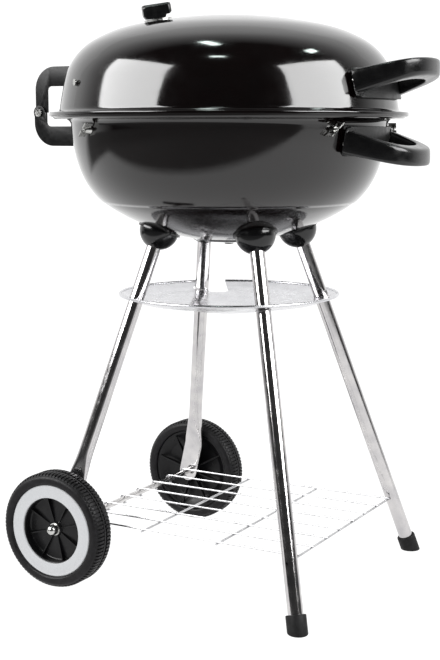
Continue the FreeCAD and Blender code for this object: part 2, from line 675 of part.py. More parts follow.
def hinge_pin():
    """Cross-head screw through both knuckles, with its nut behind."""
    lap = "(hinge_plate + lap_gap/2)"
    front = f"(-{lap} - lap_gap)"
    shank = cylinder("hinge_pin_shank", "pin_radius", f"2*{lap} + 2*lap_gap + 4", ("-hinge_reach", front, HINGE_Z),
                     "0", "0", "-90")
    head = cylinder("hinge_pin_head", "pin_head_radius", "pin_head_height",
                    ("-hinge_reach", front, HINGE_Z), "0", "0", "90")
    slots = []
    for number, turn in enumerate(("45", "135")):
        slots.append(block(f"hinge_pin_slot_{number}", "6", "1.2", "1.4", (
            f"-hinge_reach - 3*cos({turn}) + 0.6*sin({turn})", f"{front} - pin_head_height",
            f"{HINGE_Z} - 3*sin({turn}) - 0.6*cos({turn})"), "0", f"-{turn}", "-90"))
    whole = fused("hinge_pin_blank", [shank, head])
    node(cut("hinge_pin", whole, slots))
    nut = cylinder("hinge_nut_body", "pin_head_radius", "3.5",
                   ("-hinge_reach", f"{lap} + lap_gap", HINGE_Z), "0", "0", "-90")
    bore = cylinder("hinge_nut_bore", "pin_radius + 0.02", "20", ("-hinge_reach", "0", HINGE_Z), "0", "0", "-90")
    node(cut("hinge_nut", nut, [bore]))


# ---------------------------------------------------------------- lid vent and hook

def vent_rod(name, radius, reach, azimuth, start, length):
    """Round bar square to the lid at its vent, off-centre by reach."""
    x = f"({reach})*cos({azimuth})"
    y = f"({reach})*sin({azimuth})"
    return vent_place(cylinder(name, radius, length), x, y, start)


def vent_place(thing, x, y, z):
    """Sets a thing at a point of the vent's own frame: X down the slope, Z square to the lid."""
    tilt, turn = VENT_TILT, "vent_azimuth"
    flat = f"(({x})*cos({tilt}) + ({z})*sin({tilt}))"
    spot = (f"{VENT_X} + {flat}*cos({turn}) - ({y})*sin({turn})",
            f"{VENT_Y} + {flat}*sin({turn}) + ({y})*cos({turn})",
            f"{VENT_Z} - ({x})*sin({tilt}) + ({z})*cos({tilt})")
    return place(thing, spot, turn, tilt)


def lid_vent():
    """Turning vent disc with its grip knob, and the rivet that it turns on."""
    lift = "(seat_gap)"
    disc = vent_rod("vent_disc_blank", "vent_disc_radius", "0", "0", lift, "vent_disc_wall")
    holes = [vent_rod(f"vent_disc_hole_{number}", "vent_hole_radius", "vent_hole_circle", f"{number}*90",
                      "-2", "8") for number in range(4)]
    holes.append(vent_rod("vent_disc_bore", "vent_rivet_radius + running_fit", "0", "0", "-2", "8"))
    node(cut("lid_vent_disc", disc, holes))

    stem_z = f"({lift} + vent_disc_wall + seat_gap)"
    knob_z = f"({stem_z} + knob_stem_height)"
    edge, half = "knob_edge", "knob_width/2"
    section = [
        (f"-{half} + {edge}", "0"), (f"{half} - {edge}", "0"), (half, edge), (half, f"knob_height - {edge}"),
        (f"{half} - {edge}", "knob_height"), (f"-{half} + {edge}", "knob_height"),
        (f"-{half}", f"knob_height - {edge}"), (f"-{half}", edge),
    ]
    bar = padded("knob_bar", section, "YZ_Plane", "knob_length")
    bar = vent_place(bar, "knob_length/2 - knob_stem_length/2 - 7", "0", knob_z)
    stem = vent_place(block("knob_stem", "knob_stem_length", "knob_width - 5", "knob_stem_height + 1",
                            ("0", "0", "0")), "-knob_stem_length/2", "-(knob_width - 5)/2", stem_z)
    room = vent_rod("knob_rivet_room", "vent_rivet_radius + 2.3", "0", "0", "0", f"{stem_z} + 3")
    node(cut("lid_vent_knob", fused("knob_blank", [bar, stem]), [room]))

    shank = vent_rod("vent_rivet_shank", "vent_rivet_radius", "0", "0", "-4", f"4 + {stem_z} + 0.5")
    head = vent_rod("vent_rivet_head", "vent_rivet_radius + 1.7", "0", "0", stem_z, "1.4")
    tail = vent_rod("vent_rivet_tail", "vent_rivet_radius + 2", "0", "0", "-sheet_wall - 1.8", "1.2")
    node(fused("lid_vent_rivet", [shank, head, tail]))


def lid_hook():
    """Screw through the lid's side with the wire hook that it holds inside."""
    reach = LID.radius_at("hook_height")
    azimuth, z = "hook_azimuth", "hook_height"

    def level(name, radius, start, length):
        spot = (f"({start})*cos({azimuth})", f"({start})*sin({azimuth})", z)
        return cylinder(name, radius, length, spot, azimuth, "90")

    head = level("lid_hook_head", "screw_head_radius - 1", f"{reach} + 1.2", "2.4")
    shank = level("lid_hook_shank", "screw_radius", f"{reach} - 9", "11")
    node(fused("lid_hook_screw", [head, shank]))
    pad = level("lid_hook_pad", "screw_head_radius + 2", f"{reach} - 6.5", "3")
    drop = cylinder("lid_hook_wire", "hook_wire/2", "hook_drop",
                    (f"({reach} - 5 - 0.2*hook_wire)*cos({azimuth})", f"({reach} - 5 - 0.2*hook_wire)*sin({azimuth})",
                     f"{z} - hook_drop - 4"))
    toe = cylinder("lid_hook_toe", "hook_wire/2", "9",
                   (f"({reach} - 13)*cos({azimuth})", f"({reach} - 13)*sin({azimuth})", f"{z} - hook_drop - 4"),
                   azimuth, "90")
    bore = level("lid_hook_bore", "screw_radius + 0.05", f"{reach} - 12", "14")
    node(cut("lid_hook", fused("lid_hook_blank", [pad, drop, toe]), [bore]))


# ---------------------------------------------------------------- bowl vent

def bowl_vent():
    """Dished damper that turns under the bowl on a rivet to open or shut the draught holes."""
    low, high = "(seat_gap + sheet_wall)", "seat_gap"
    centre = BOWL.cap_height
    inner, outer = f"({BOWL.cap_arc} + {high})", f"({BOWL.cap_arc} + {low})"
    rim = "draught_disc_radius"
    corners = [
        ("0", f"{centre} - {inner}", f"{inner}"),
        (rim, f"{centre} - sqrt({inner}^2 - {rim}^2)"),
        (rim, f"{centre} - sqrt({outer}^2 - {rim}^2)", f"-{outer}"),
        ("0", f"{centre} - {outer}"),
    ]
    disc = turned("draught_disc", corners)
    tab_root = f"({rim} - 6)"
    tab = block("draught_tab", f"draught_tab_reach - {tab_root}", "draught_tab_width", "sheet_wall",
                (tab_root, "-draught_tab_width/2", f"{centre} - sqrt({outer}^2 - {tab_root}^2)"),
                "0", f"-asin({tab_root}/{outer})")
    tools = []
    for number in range(3):
        azimuth = f"{number}*120"
        spot = (f"draught_circle*cos({azimuth})", f"draught_circle*sin({azimuth})", f"{BOWL.cap_z('0')} - 20")
        tools.append(cylinder(f"draught_disc_hole_{number}", "draught_hole_radius", "40", spot))
    tools.append(cylinder("draught_disc_bore", "rivet_radius + running_fit", "40",
                          ("0", "0", f"{BOWL.cap_z('0')} - 20")))
    node(cut("bowl_vent_damper", fused("draught_blank", [disc, tab]), tools))
    bottom = BOWL.cap_z("0")
    under = f"({bottom} - {low} - seat_gap - rivet_head_height)"
    shank = cylinder("bowl_rivet_shank", "rivet_radius", f"{bottom} + sheet_wall + 2 - {under}",
                     ("0", "0", under))
    head = cylinder("bowl_rivet_head", "rivet_head_radius", "rivet_head_height", ("0", "0", under))
    tail = cylinder("bowl_rivet_tail", "rivet_head_radius", "1.5", ("0", "0", f"{bottom} + sheet_wall + 0.5"))
    node(fused("bowl_vent_rivet", [shank, head, tail]))


# ---------------------------------------------------------------- grates and brackets

def bracket_azimuths():
    """Azimuths of the four grate brackets, two beside the bowl handle and two towards the hinge."""
    return ["bracket_front_azimuth", "-bracket_front_azimuth", "bracket_rear_azimuth", "-bracket_rear_azimuth"]


BRACKET_Z = "(rim_height - bracket_drop)"
BRACKET_LOW = f"({BRACKET_Z} - bracket_height/2)"
BRACKET_FACE = f"({BOWL.radius_at(BRACKET_LOW, '-sheet_wall')} - seat_gap)"
BRACKET_TOP = f"({BRACKET_Z} + bracket_height/2)"


def wire_grate(label, radius, wire_count, ring_z, cross_count):
    """Round grate: a ring, parallel bars on top of it and cross wires under the bars."""
    ring = doc.addObject("Part::Torus", f"{label}_ring")
    ring.setExpression("Radius1", bound(f"{radius} - grate_ring_wire"))
    ring.setExpression("Radius2", bound("grate_ring_wire"))
    place(ring, ("0", "0", ring_z))
    wires = [ring]
    reach = f"({radius} - grate_ring_wire)"
    total = count(wire_count)
    for number in range(total):
        y = f"{reach}*({2 * number + 1 - total})/({total} + 0.5)"
        half = f"sqrt({reach}^2 - ({y})^2)"
        wires.append(cylinder(f"{label}_bar_{number}", "grate_wire", f"2*{half}",
                              (f"-{half}", y, f"{ring_z} + grate_ring_wire - grate_wire - seat_gap"), "0", "90"))
    for number in range(cross_count):
        x = f"{reach}*({2 * number + 1 - cross_count})/({cross_count} + 1)"
        half = f"sqrt({reach}^2 - ({x})^2)"
        wires.append(cylinder(f"{label}_cross_{number}", "grate_wire", f"2*{half}",
                              (x, f"-{half}", f"{ring_z} - grate_ring_wire + grate_wire + seat_gap/2"),
                              "90", "90"))
    node(fused(label, wires))


def charcoal_ring_z():
    """Height at which the charcoal grate's ring lies on the bowl's turn."""
    centre_r, centre_z, arc = BOWL.arcs[1][:3]
    across = f"(charcoal_grate_radius - grate_ring_wire - {centre_r})"
    clear = f"({arc} - crease_step - sheet_wall - grate_gap - grate_ring_wire)"
    return f"({centre_z} - sqrt({clear}^2 - {across}^2))"


def grate_brackets():
    """Four L-shaped lugs inside the bowl's neck that carry the cooking grate."""
    brackets = []
    for number, azimuth in enumerate(bracket_azimuths()):
        upright = block(f"bracket_upright_{number}", "bracket_wall", "bracket_width", "bracket_height",
                        ("-bracket_wall", "-bracket_width/2", f"-bracket_height/2"))
        lug = block(f"bracket_lug_{number}", "bracket_reach", "bracket_width", "bracket_wall",
                    ("-bracket_reach", "-bracket_width/2", "bracket_height/2 - bracket_wall"))
        bore = cylinder(f"bracket_bore_{number}", "screw_radius + hole_fit", "30", ("-20", "0", "0"), "0", "90")
        lug_piece = cut(f"bracket_{number}", fused(f"bracket_blank_{number}", [upright, lug]), [bore])
        face = f"({BRACKET_FACE} - 0.15)"
        brackets.append(place(lug_piece, (f"{face}*cos({azimuth})", f"{face}*sin({azimuth})", BRACKET_Z),
                              azimuth))
    node(grouped("grate_brackets", brackets))


def bracket_fasteners():
    """Bolts through the brackets and the bowl's wall, and the wing nuts on their outer ends."""
    bolts, nuts = [], []
    outside = f"({BOWL.radius_at(BRACKET_Z)} + seat_gap)"
    inside = f"({BRACKET_FACE} - bracket_wall - seat_gap - 0.15)"
    for number, azimuth in enumerate(bracket_azimuths()):
        head = cylinder(f"bracket_bolt_head_{number}", "screw_head_radius - 0.5", "2.5",
                        ("-2.5", "0", "0"), "0", "90")
        shank = cylinder(f"bracket_bolt_shank_{number}", "screw_radius", f"{outside} - {inside} + 10",
                         ("-1", "0", "0"), "0", "90")
        bolt = fused(f"bracket_bolt_{number}", [head, shank])
        bolts.append(place(bolt, (f"{inside}*cos({azimuth})", f"{inside}*sin({azimuth})", BRACKET_Z), azimuth))
        hub = doc.addObject("Part::Cone", f"wing_hub_{number}")
        hub.setExpression("Radius1", bound("wing_hub_radius"))
        hub.setExpression("Radius2", bound("wing_hub_radius - 1.5"))
        hub.setExpression("Height", bound("wing_hub_height"))
        place(hub, ("0", "0", "0"), "0", "90")
        wings = [hub]
        for side in (0, 1):
            turn = f"{180 * side} + 40"
            wings.append(block(f"wing_{number}_{side}", "wing_height", "wing_reach", "wing_wall", (
                "1.5", f"(2*cos({turn}) + wing_wall/2*sin({turn}))", f"(2*sin({turn}) - wing_wall/2*cos({turn}))"),
                "0", "0", turn))
        bore = cylinder(f"wing_bore_{number}", "screw_radius + 0.05", "30", ("-5", "0", "0"), "0", "90")
        nut = cut(f"wing_nut_{number}", fused(f"wing_blank_{number}", wings), [bore])
        nuts.append(place(nut, (f"{outside}*cos({azimuth})", f"{outside}*sin({azimuth})", BRACKET_Z), azimuth))
    node(grouped("bracket_bolts", bolts))
    node(grouped("wing_nuts", nuts))


# ---------------------------------------------------------------- legs

class LegLine:
    """Straight line of one leg, from its lower point to the bowl's cap."""

    def __init__(self, name, front, wheel):
        side_x, side_y = (-1 if wheel else 1), (-1 if front else 1)
        self.name = name
        self.side_y = side_y
        self.cap = (f"{side_x}*socket_circle*cos(socket_azimuth)", f"{side_y}*socket_circle*sin(socket_azimuth)",
                    CAP_Z)
        if wheel:
            self.foot = ("-axle_x", f"{side_y}*axle_leg_y", f"({AXLE_Z} + leg_flat_length)")
        else:
            self.foot = ("foot_x", f"{side_y}*foot_y", "0")
        dx, dy, dz = (f"({a} - ({b}))" for a, b in zip(self.cap, self.foot))
        self.azimuth = f"atan2({dy}; {dx})"
        self.tilt = f"atan2(hypot({dx}; {dy}); {dz})"
        self.length = f"hypot(hypot({dx}; {dy}); {dz})"

    def rod(self, name, radius, start, length):
        """Round bar on the leg's line, from start above its lower point."""
        spot = shifted(self.foot, along(start, self.azimuth, self.tilt))
        return cylinder(name, radius, length, spot, self.azimuth, self.tilt)


LEGS = [
    LegLine("front_left", front=True, wheel=True), LegLine("front_right", front=True, wheel=False),
    LegLine("rear_right", front=False, wheel=False), LegLine("rear_left", front=False, wheel=True),
]


def leg_azimuths():
    """Azimuths of the leg bolts in the bowl's bottom."""
    return ["180 + socket_azimuth", "-socket_azimuth", "socket_azimuth", "180 - socket_azimuth"]


def leg_bolt_rod(name, radius, azimuth, start, length):
    """Round tool down through the bowl's cap where a leg is bolted, square to the cap."""
    tilt = BOWL.cap_tilt("socket_circle")
    top = (f"socket_circle*cos({azimuth})", f"socket_circle*sin({azimuth})", CAP_Z)
    step = along(start, f"({azimuth} + 180)", tilt)
    return cylinder(name, radius, length, shifted(top, step), f"({azimuth} + 180)", tilt)


def leg_socket(line):
    """Half-round cup between a leg and the bowl, with a lip that lies on the bowl's cap."""
    label = f"leg_socket_{line.name}"
    dome = ball(f"{label}_dome", "socket_radius", line.cap)
    lip = line.rod(f"{label}_lip", "socket_lip_radius", f"{line.length} - 3 - socket_lip", "20")
    seat = solid_of(f"{label}_seat", BOWL, "seat_gap")
    lid_off = solid_of(f"{label}_face", BOWL, "(seat_gap + socket_lip)")
    lip_ring = common(f"{label}_lip_ring", lip, lid_off)
    bore = line.rod(f"{label}_bore", "leg_radius + leg_fit", f"{line.length} - 80", "100")
    node(cut(label, fused(f"{label}_blank", [dome, lip_ring]), [seat, bore]))


def foot_leg(line):
    """Plain tube leg with cross holes for the rack's end bar."""
    label = f"leg_{line.name}"
    length = f"({line.length} - cap_floor - leg_top_gap)"
    tube = line.rod(f"{label}_tube", "leg_radius", "cap_floor", length)
    bore = line.rod(f"{label}_bore", "leg_radius - leg_wall", "cap_floor - 5", f"{length} + 20")
    cross = cylinder(f"{label}_rack_hole", "rack_bar + hole_fit", "60",
                     (RACK_END_X, f"{line.side_y}*(rack_leg_reach - 30)", RACK_BAR_Z), "0", "0", f"{-90 * line.side_y}")
    node(cut(label, tube, [bore, cross]))


def foot_cap(line):
    """Rubber cup on the end of a tube leg, with its underside level on the floor."""
    label = f"foot_cap_{line.name}"
    cup = line.rod(f"{label}_cup", "cap_radius", "-12", "cap_height + 12")
    bore = line.rod(f"{label}_bore", "leg_radius + leg_fit", "cap_floor - seat_gap", "60")
    floor = block(f"{label}_floor", "200", "200", "60", (f"{line.foot[0]} - 100", f"{line.foot[1]} - 100", "-60"))
    node(cut(label, cup, [bore, floor]))


def wheel_leg(line):
    """Tube leg whose lower end is pressed flat, bent upright and drilled for the axle."""
    label = f"leg_{line.name}"
    x, y, z = (value(formula) for formula in line.foot)
    lean = FreeCAD.Rotation(value(line.azimuth), value(line.tilt), 0)
    direction = lean.multVec(FreeCAD.Vector(0, 0, 1))
    foot = FreeCAD.Vector(x, y, z)
    turn_end = foot + direction * value("leg_turn_length")
    half_width, half_wall = value("leg_flat_width/2"), value("leg_flat_wall/2")
    corners = [FreeCAD.Vector(x + a * half_width, y + b * half_wall, z)
               for a, b in ((-1, -1), (1, -1), (1, 1), (-1, 1), (-1, -1))]
    flat_ring = Part.makePolygon(corners)
    placement = FreeCAD.Placement(turn_end, lean)
    circle = Part.Wire([Part.makeCircle(value("leg_radius"))])
    circle.Placement = placement
    turn = Part.makeLoft([flat_ring, circle], True)
    length = value(line.length) - value("leg_turn_length") - value("leg_top_gap")
    tube = Part.makeCylinder(value("leg_radius"), length)
    bore = Part.makeCylinder(value("leg_radius - leg_wall"), length + 1, FreeCAD.Vector(0, 0, 0.5))
    tube = tube.cut(bore)
    tube.Placement = placement
    axle_z = value(AXLE_Z)
    plate = Part.makeBox(2 * half_width, 2 * half_wall, z - axle_z,
                         FreeCAD.Vector(x - half_width, y - half_wall, axle_z))
    across = FreeCAD.Vector(0, 1, 0)
    end_disc = Part.makeCylinder(half_width, 2 * half_wall, FreeCAD.Vector(x, y - half_wall, axle_z), across)
    hole = Part.makeCylinder(value("axle_radius + leg_fit"), 40, FreeCAD.Vector(x, y - 20, axle_z), across)
    node(shaped(label, turn.fuse([tube, plate, end_disc]).cut(hole).removeSplitter()))


def leg_fasteners():
    """Bolts down through the bowl into the threaded plugs in the legs' upper ends."""
    bolts, plugs = [], []
    for line in LEGS:
        plug = line.rod(f"leg_plug_{line.name}", "leg_radius - leg_wall - 0.05",
                        f"{line.length} - leg_top_gap - leg_insert_length", "leg_insert_length - 1")
        bore = line.rod(f"leg_plug_bore_{line.name}", "leg_bolt_radius + 0.05", f"{line.length} - 40", "60")
        plugs.append(cut(f"leg_insert_{line.name}", plug, [bore]))
        shank = line.rod(f"leg_bolt_shank_{line.name}", "leg_bolt_radius",
                         f"{line.length} - leg_insert_length", "leg_insert_length + 5")
        head = line.rod(f"leg_bolt_head_{line.name}", "leg_bolt_head_radius", f"{line.length} + sheet_wall + 1.2",
                        "leg_bolt_head_height")
        bolts.append(fused(f"leg_bolt_{line.name}", [shank, head]))
    node(grouped("leg_inserts", plugs))
    node(grouped("leg_bolts", bolts))


# ---------------------------------------------------------------- axle and wheels

def axle():
    """Round rod across the trolley, through both wheels and both flattened legs."""
    reach = "(wheel_inner_y + wheel_width - hub_recess + 6)"
    node(cylinder("axle", "axle_radius", f"2*{reach}"),
         spot=("-axle_x", f"-{reach}", AXLE_Z), roll="-90")


def wheel(name, side):
    """One wheel on the axle: tyre, hub with ribs, trim ring, washer and domed cap nut."""
    half, outward = "wheel_width/2", f"{90 * side}"
    where = {"spot": ("-axle_x", f"{side}*(wheel_inner_y + {half})", AXLE_Z), "yaw": outward, "pitch": "90"}
    tyre_inner, seat = "(wheel_radius - tyre_wall)", "seat_gap"
    shoulder = "(wheel_radius - 4)"
    corners = [
        (tyre_inner, f"-{half} + 3"), (f"{tyre_inner} + 4", f"-{half}"), (shoulder, f"-{half}"),
        ("wheel_radius", f"-{half} + 5"), ("wheel_radius", "-tyre_groove"), ("wheel_radius - tyre_groove", "0"),
        ("wheel_radius", "tyre_groove"), ("wheel_radius", f"{half} - 5"), (shoulder, half),
        (f"{tyre_inner} + 4", half), (tyre_inner, f"{half} - 3"),
    ]
    node(turned(f"tyre_{name}", corners), **where)

    rim, bore = f"({tyre_inner} - {seat})", "(axle_radius + running_fit)"
    face = f"({half} - 3 - trim_wall)"
    well = "(trim_inner_radius - 1)"
    web = f"({face} - hub_recess)"
    back = f"(-{half} + hub_inner_rise)"
    hub_corners = [
        (bore, f"-{half}"), ("hub_boss_radius", f"-{half}"), ("hub_boss_radius", f"{web} - hub_web"),
        (f"{well} + hub_rim_wall", f"{web} - hub_web"), (f"{rim} - hub_rim_wall", back), (rim, back),
        (rim, face), (well, face), (well, web), ("hub_boss_radius", web), ("hub_boss_radius", f"{web} + 5"),
        (bore, f"{web} + 5"),
    ]
    hub = turned(f"hub_{name}_turning", hub_corners)
    ribs = [place(block(f"hub_{name}_rib_{number}", f"{well} - hub_boss_radius + 2", "hub_rib_wall", "4",
                        ("0", "0", "0")),
                  (f"(hub_boss_radius - 1)*cos({turn}) + hub_rib_wall/2*sin({turn})",
                   f"(hub_boss_radius - 1)*sin({turn}) - hub_rib_wall/2*cos({turn})", f"{web} - 0.5"), turn)
            for number, turn in enumerate(f"{number}*360/{count('hub_rib_count')}"
                                          for number in range(count("hub_rib_count")))]
    node(fused(f"hub_{name}", [hub] + ribs), **where)

    trim_corners = [
        ("trim_inner_radius", f"{face} + {seat}/3"), (f"{rim}", f"{face} + {seat}/3"),
        (rim, f"{face} + trim_wall"), (f"{rim} - 2", f"{face} + trim_wall + 1.2"),
        ("trim_inner_radius + 2", f"{face} + trim_wall + 0.8"), ("trim_inner_radius", f"{face} + trim_wall"),
    ]
    node(turned(f"trim_ring_{name}", trim_corners), **where)

    nut_z = f"({web} + 5 + seat_gap)"
    washer = cylinder(f"cap_nut_{name}_washer", "washer_radius", "washer_wall", ("0", "0", nut_z))
    body = cylinder(f"cap_nut_{name}_body", "cap_nut_radius", "cap_nut_length - cap_nut_radius",
                    ("0", "0", f"{nut_z} + washer_wall - 0.1"))
    dome = ball(f"cap_nut_{name}_dome", "cap_nut_radius",
                ("0", "0", f"{nut_z} + washer_wall + cap_nut_length - cap_nut_radius - 0.1"))
    hollow = cylinder(f"cap_nut_{name}_hollow", "axle_radius + 0.05", "20",
                      ("0", "0", f"{half} - hub_recess + 6.3 - 20"))
    node(cut(f"cap_nut_{name}", fused(f"cap_nut_{name}_blank", [washer, body, dome]), [hollow]), **where)


def axle_spacers():
    """Short sleeves that keep each wheel off its leg."""
    sleeves = []
    for side in (-1, 1):
        start = f"{side}*(axle_leg_y + leg_flat_wall/2 + 0.2)"
        length = "(wheel_inner_y - axle_leg_y - leg_flat_wall/2 - 0.5)"
        roll = f"{-90 * side}"
        spot = ("-axle_x", start, AXLE_Z)
        sleeve = cylinder(f"spacer_body_{side + 1}", "washer_radius", length, spot, "0", "0", roll)
        bore = cylinder(f"spacer_bore_{side + 1}", "axle_radius + 0.05", "60", ("-axle_x", f"{side}*130", AXLE_Z),
                        "0", "0", roll)
        sleeves.append(cut(f"spacer_{side + 1}", sleeve, [bore]))
    node(grouped("axle_spacers", sleeves))


# ---------------------------------------------------------------- rack and ash catcher

def wire_rack():
    """Welded wire shelf: long wires hooked over the axle, on two cross wires and an end bar."""
    wires = []
    end = f"({RACK_END_X} + rack_overhang)"
    total = count("rack_wire_count")
    for number in range(total):
        y = f"rack_width*({2 * number - total + 1})/({2 * total - 2})"
        wires.append(cylinder(f"rack_wire_{number}", "rack_wire", f"{end} + axle_x", ("-axle_x", y, RACK_Z),
                              "0", "90"))
        hook = doc.addObject("Part::Torus", f"rack_hook_{number}")
        hook.setExpression("Radius1", bound(f"{RACK_Z} - {AXLE_Z}"))
        hook.setExpression("Radius2", bound("rack_wire"))
        hook.Angle3 = 220
        wires.append(place(hook, ("-axle_x", y, AXLE_Z), "0", "-90", "90"))
    overhang = "(rack_width/2 + rack_overhang)"
    for number, share in enumerate(("1/3", "2/3")):
        x = f"(-axle_x + ({RACK_END_X} + axle_x)*{share})"
        wires.append(cylinder(f"rack_cross_{number}", "rack_bar", f"2*{overhang}",
                              (x, f"-{overhang}", RACK_BAR_Z), "0", "0", "-90"))
    wires.append(cylinder("rack_end_bar", "rack_bar", "2*rack_leg_reach",
                          (RACK_END_X, "-rack_leg_reach", RACK_BAR_Z), "0", "0", "-90"))
    node(fused("wire_rack", wires))


def ash_catcher():
    """Shallow polished dish between the legs, with a rolled edge, leg holes and a slot to fit it."""
    bead, wall = "ash_bead", "ash_wall"
    rim, rim_z = "ash_rim_radius", "ash_rim_height"
    shelf_z, floor_z = f"({rim_z} - ash_shelf_drop)", f"({rim_z} - ash_floor_drop)"
    inner = f"({rim} - 2*{bead})"
    corners = [
        (f"{rim} - {bead}", f"{rim_z} + {bead}", f"-{bead}"), (rim, rim_z, f"-{bead}"),
        (f"{rim} - {bead}", f"{rim_z} - {bead}"),
        ("ash_shelf_radius", f"{shelf_z} - {wall}"),
        ("ash_floor_radius + 34", f"{floor_z} + 7 - {wall}"),
        ("ash_floor_radius", f"{floor_z} - {wall}"), ("0", f"{floor_z} - {wall}"), ("0", floor_z),
        ("ash_floor_radius", floor_z), ("ash_floor_radius + 34", f"{floor_z} + 7"),
        ("ash_shelf_radius", shelf_z), (inner, f"{rim_z} - 0.4"),
        (inner, rim_z, f"-{bead}"),
    ]
    dish = turned("ash_dish", corners)
    tools = []
    for line in LEGS:
        tools.append(line.rod(f"ash_hole_{line.name}", "leg_radius + ash_leg_gap", f"{line.length} - 200", "190"))
    half, corner = "ash_notch_width/2", "ash_notch_corner"
    notch = [
        ("ash_notch_radius", f"-{half} + {corner}", corner), (f"ash_notch_radius + {corner}", f"-{half}"),
        (f"{rim} + 10", f"-{half}"), (f"{rim} + 10", half), (f"ash_notch_radius + {corner}", half, corner),
        ("ash_notch_radius", f"{half} - {corner}"),
    ]
    slot = new_body("ash_notch")
    pad = slot.newObject("PartDesign::Pad", "ash_notch_pad")
    pad.Profile = outline(slot, "ash_notch_plan", "XY_Plane", notch)
    pad.setExpression("Length", bound("4*ash_floor_drop"))
    tools.append(place(slot, ("0", "0", f"{rim_z} - 2*ash_floor_drop"), "ash_notch_azimuth"))
    node(cut("ash_catcher", dish, tools))


# ---------------------------------------------------------------- assembly

def build():
    """Makes every piece in the order in which the grill is put together."""
    bowl_shell()
    shield("bowl_handle_shield", BOWL, -1)
    handle("bowl_handle", BOWL, BOWL_REACH, -1)
    handle_screws("bowl_handle_screws", BOWL, BOWL_REACH, BOWL_HANDLE_Z)
    bowl_vent()
    grate_brackets()
    bracket_fasteners()
    wire_grate("charcoal_grate", "charcoal_grate_radius", "charcoal_wire_count", charcoal_ring_z(), 2)
    wire_grate("cooking_grate", "cooking_grate_radius", "cooking_wire_count",
               f"({BRACKET_TOP} + grate_gap + grate_ring_wire)", 2)
    for line in LEGS:
        leg_socket(line)
        if line.foot[2] == "0":
            foot_leg(line)
            foot_cap(line)
        else:
            wheel_leg(line)
    leg_fasteners()
    ash_catcher()
    axle()
    axle_spacers()
    wheel("front", -1)
    wheel("rear", 1)
    wire_rack()
    hinge_arm("hinge_lower_arm", BOWL, -1)
    hinge_screws("hinge_lower_screws", BOWL, -1)
    hinge_pin()
    lid_shell()
    shield("lid_handle_shield", LID, 1)
    handle("lid_handle", LID, LID_REACH, 1)
    handle_screws("lid_handle_screws", LID, LID_REACH, LID_HANDLE_Z)
    hinge_arm("hinge_upper_arm", LID, 1)
    hinge_screws("hinge_upper_screws", LID, 1)
    lid_vent()
    lid_hook()


def check():
    """Stops where an object failed to compute, or a finished piece has no sound solid."""
    for thing in doc.Objects:
        if {"Invalid", "Error"} & set(thing.State):
            raise SystemExit(f"{thing.Label} failed: {thing.State}")
    for thing in NODES:
        if thing.Shape.isNull() or not thing.Shape.isValid() or not thing.Shape.Solids:
            raise SystemExit(f"{thing.Label} has no valid solid")


def export():
    """Writes each piece's shape under its own name."""
    os.makedirs("parts", exist_ok=True)
    for thing in NODES:
        thing.Shape.exportStep(f"parts/{thing.Label}.step")
        print(thing.Label, len(thing.Shape.Solids), round(thing.Shape.Volume, 1))


build()
doc.recompute()
check()
export()
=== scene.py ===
"""Looks of the kettle charcoal grill: finishes, detailed pieces, floor, lights and camera over the CAD frame.

Lengths are in metres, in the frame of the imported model: +Z up, +X towards the handles, the floor at Z = 0.
"""

import json
import logging
import math
from dataclasses import dataclass, field
from enum import Enum
from typing import Iterable, Optional, Sequence, Union

import bmesh
import bpy
from mathutils import Matrix, Quaternion, Vector


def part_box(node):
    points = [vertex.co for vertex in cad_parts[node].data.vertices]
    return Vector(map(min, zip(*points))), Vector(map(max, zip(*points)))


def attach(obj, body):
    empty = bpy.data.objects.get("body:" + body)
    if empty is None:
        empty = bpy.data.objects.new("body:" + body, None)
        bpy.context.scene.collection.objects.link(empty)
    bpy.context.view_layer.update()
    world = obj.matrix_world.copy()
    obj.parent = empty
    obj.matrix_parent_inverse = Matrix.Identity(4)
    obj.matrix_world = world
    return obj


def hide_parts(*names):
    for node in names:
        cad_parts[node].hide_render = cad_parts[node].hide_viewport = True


LOG = logging.getLogger("kettle_grill")
MM = 0.001
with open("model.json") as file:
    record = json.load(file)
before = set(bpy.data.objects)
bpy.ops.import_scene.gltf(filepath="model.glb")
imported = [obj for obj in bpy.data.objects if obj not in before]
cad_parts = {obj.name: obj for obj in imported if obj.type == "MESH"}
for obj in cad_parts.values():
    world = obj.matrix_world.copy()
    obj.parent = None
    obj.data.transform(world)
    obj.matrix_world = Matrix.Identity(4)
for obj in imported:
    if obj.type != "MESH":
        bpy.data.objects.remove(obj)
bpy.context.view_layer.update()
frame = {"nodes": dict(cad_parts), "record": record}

Profile = list[tuple[float, float]]


# ---------------------------------------------------------------- node recipes

class Direction(Enum):
    """Which way a finish's marks run."""

    NONE = "none"
    RINGS = "rings"
    ALONG = "along"


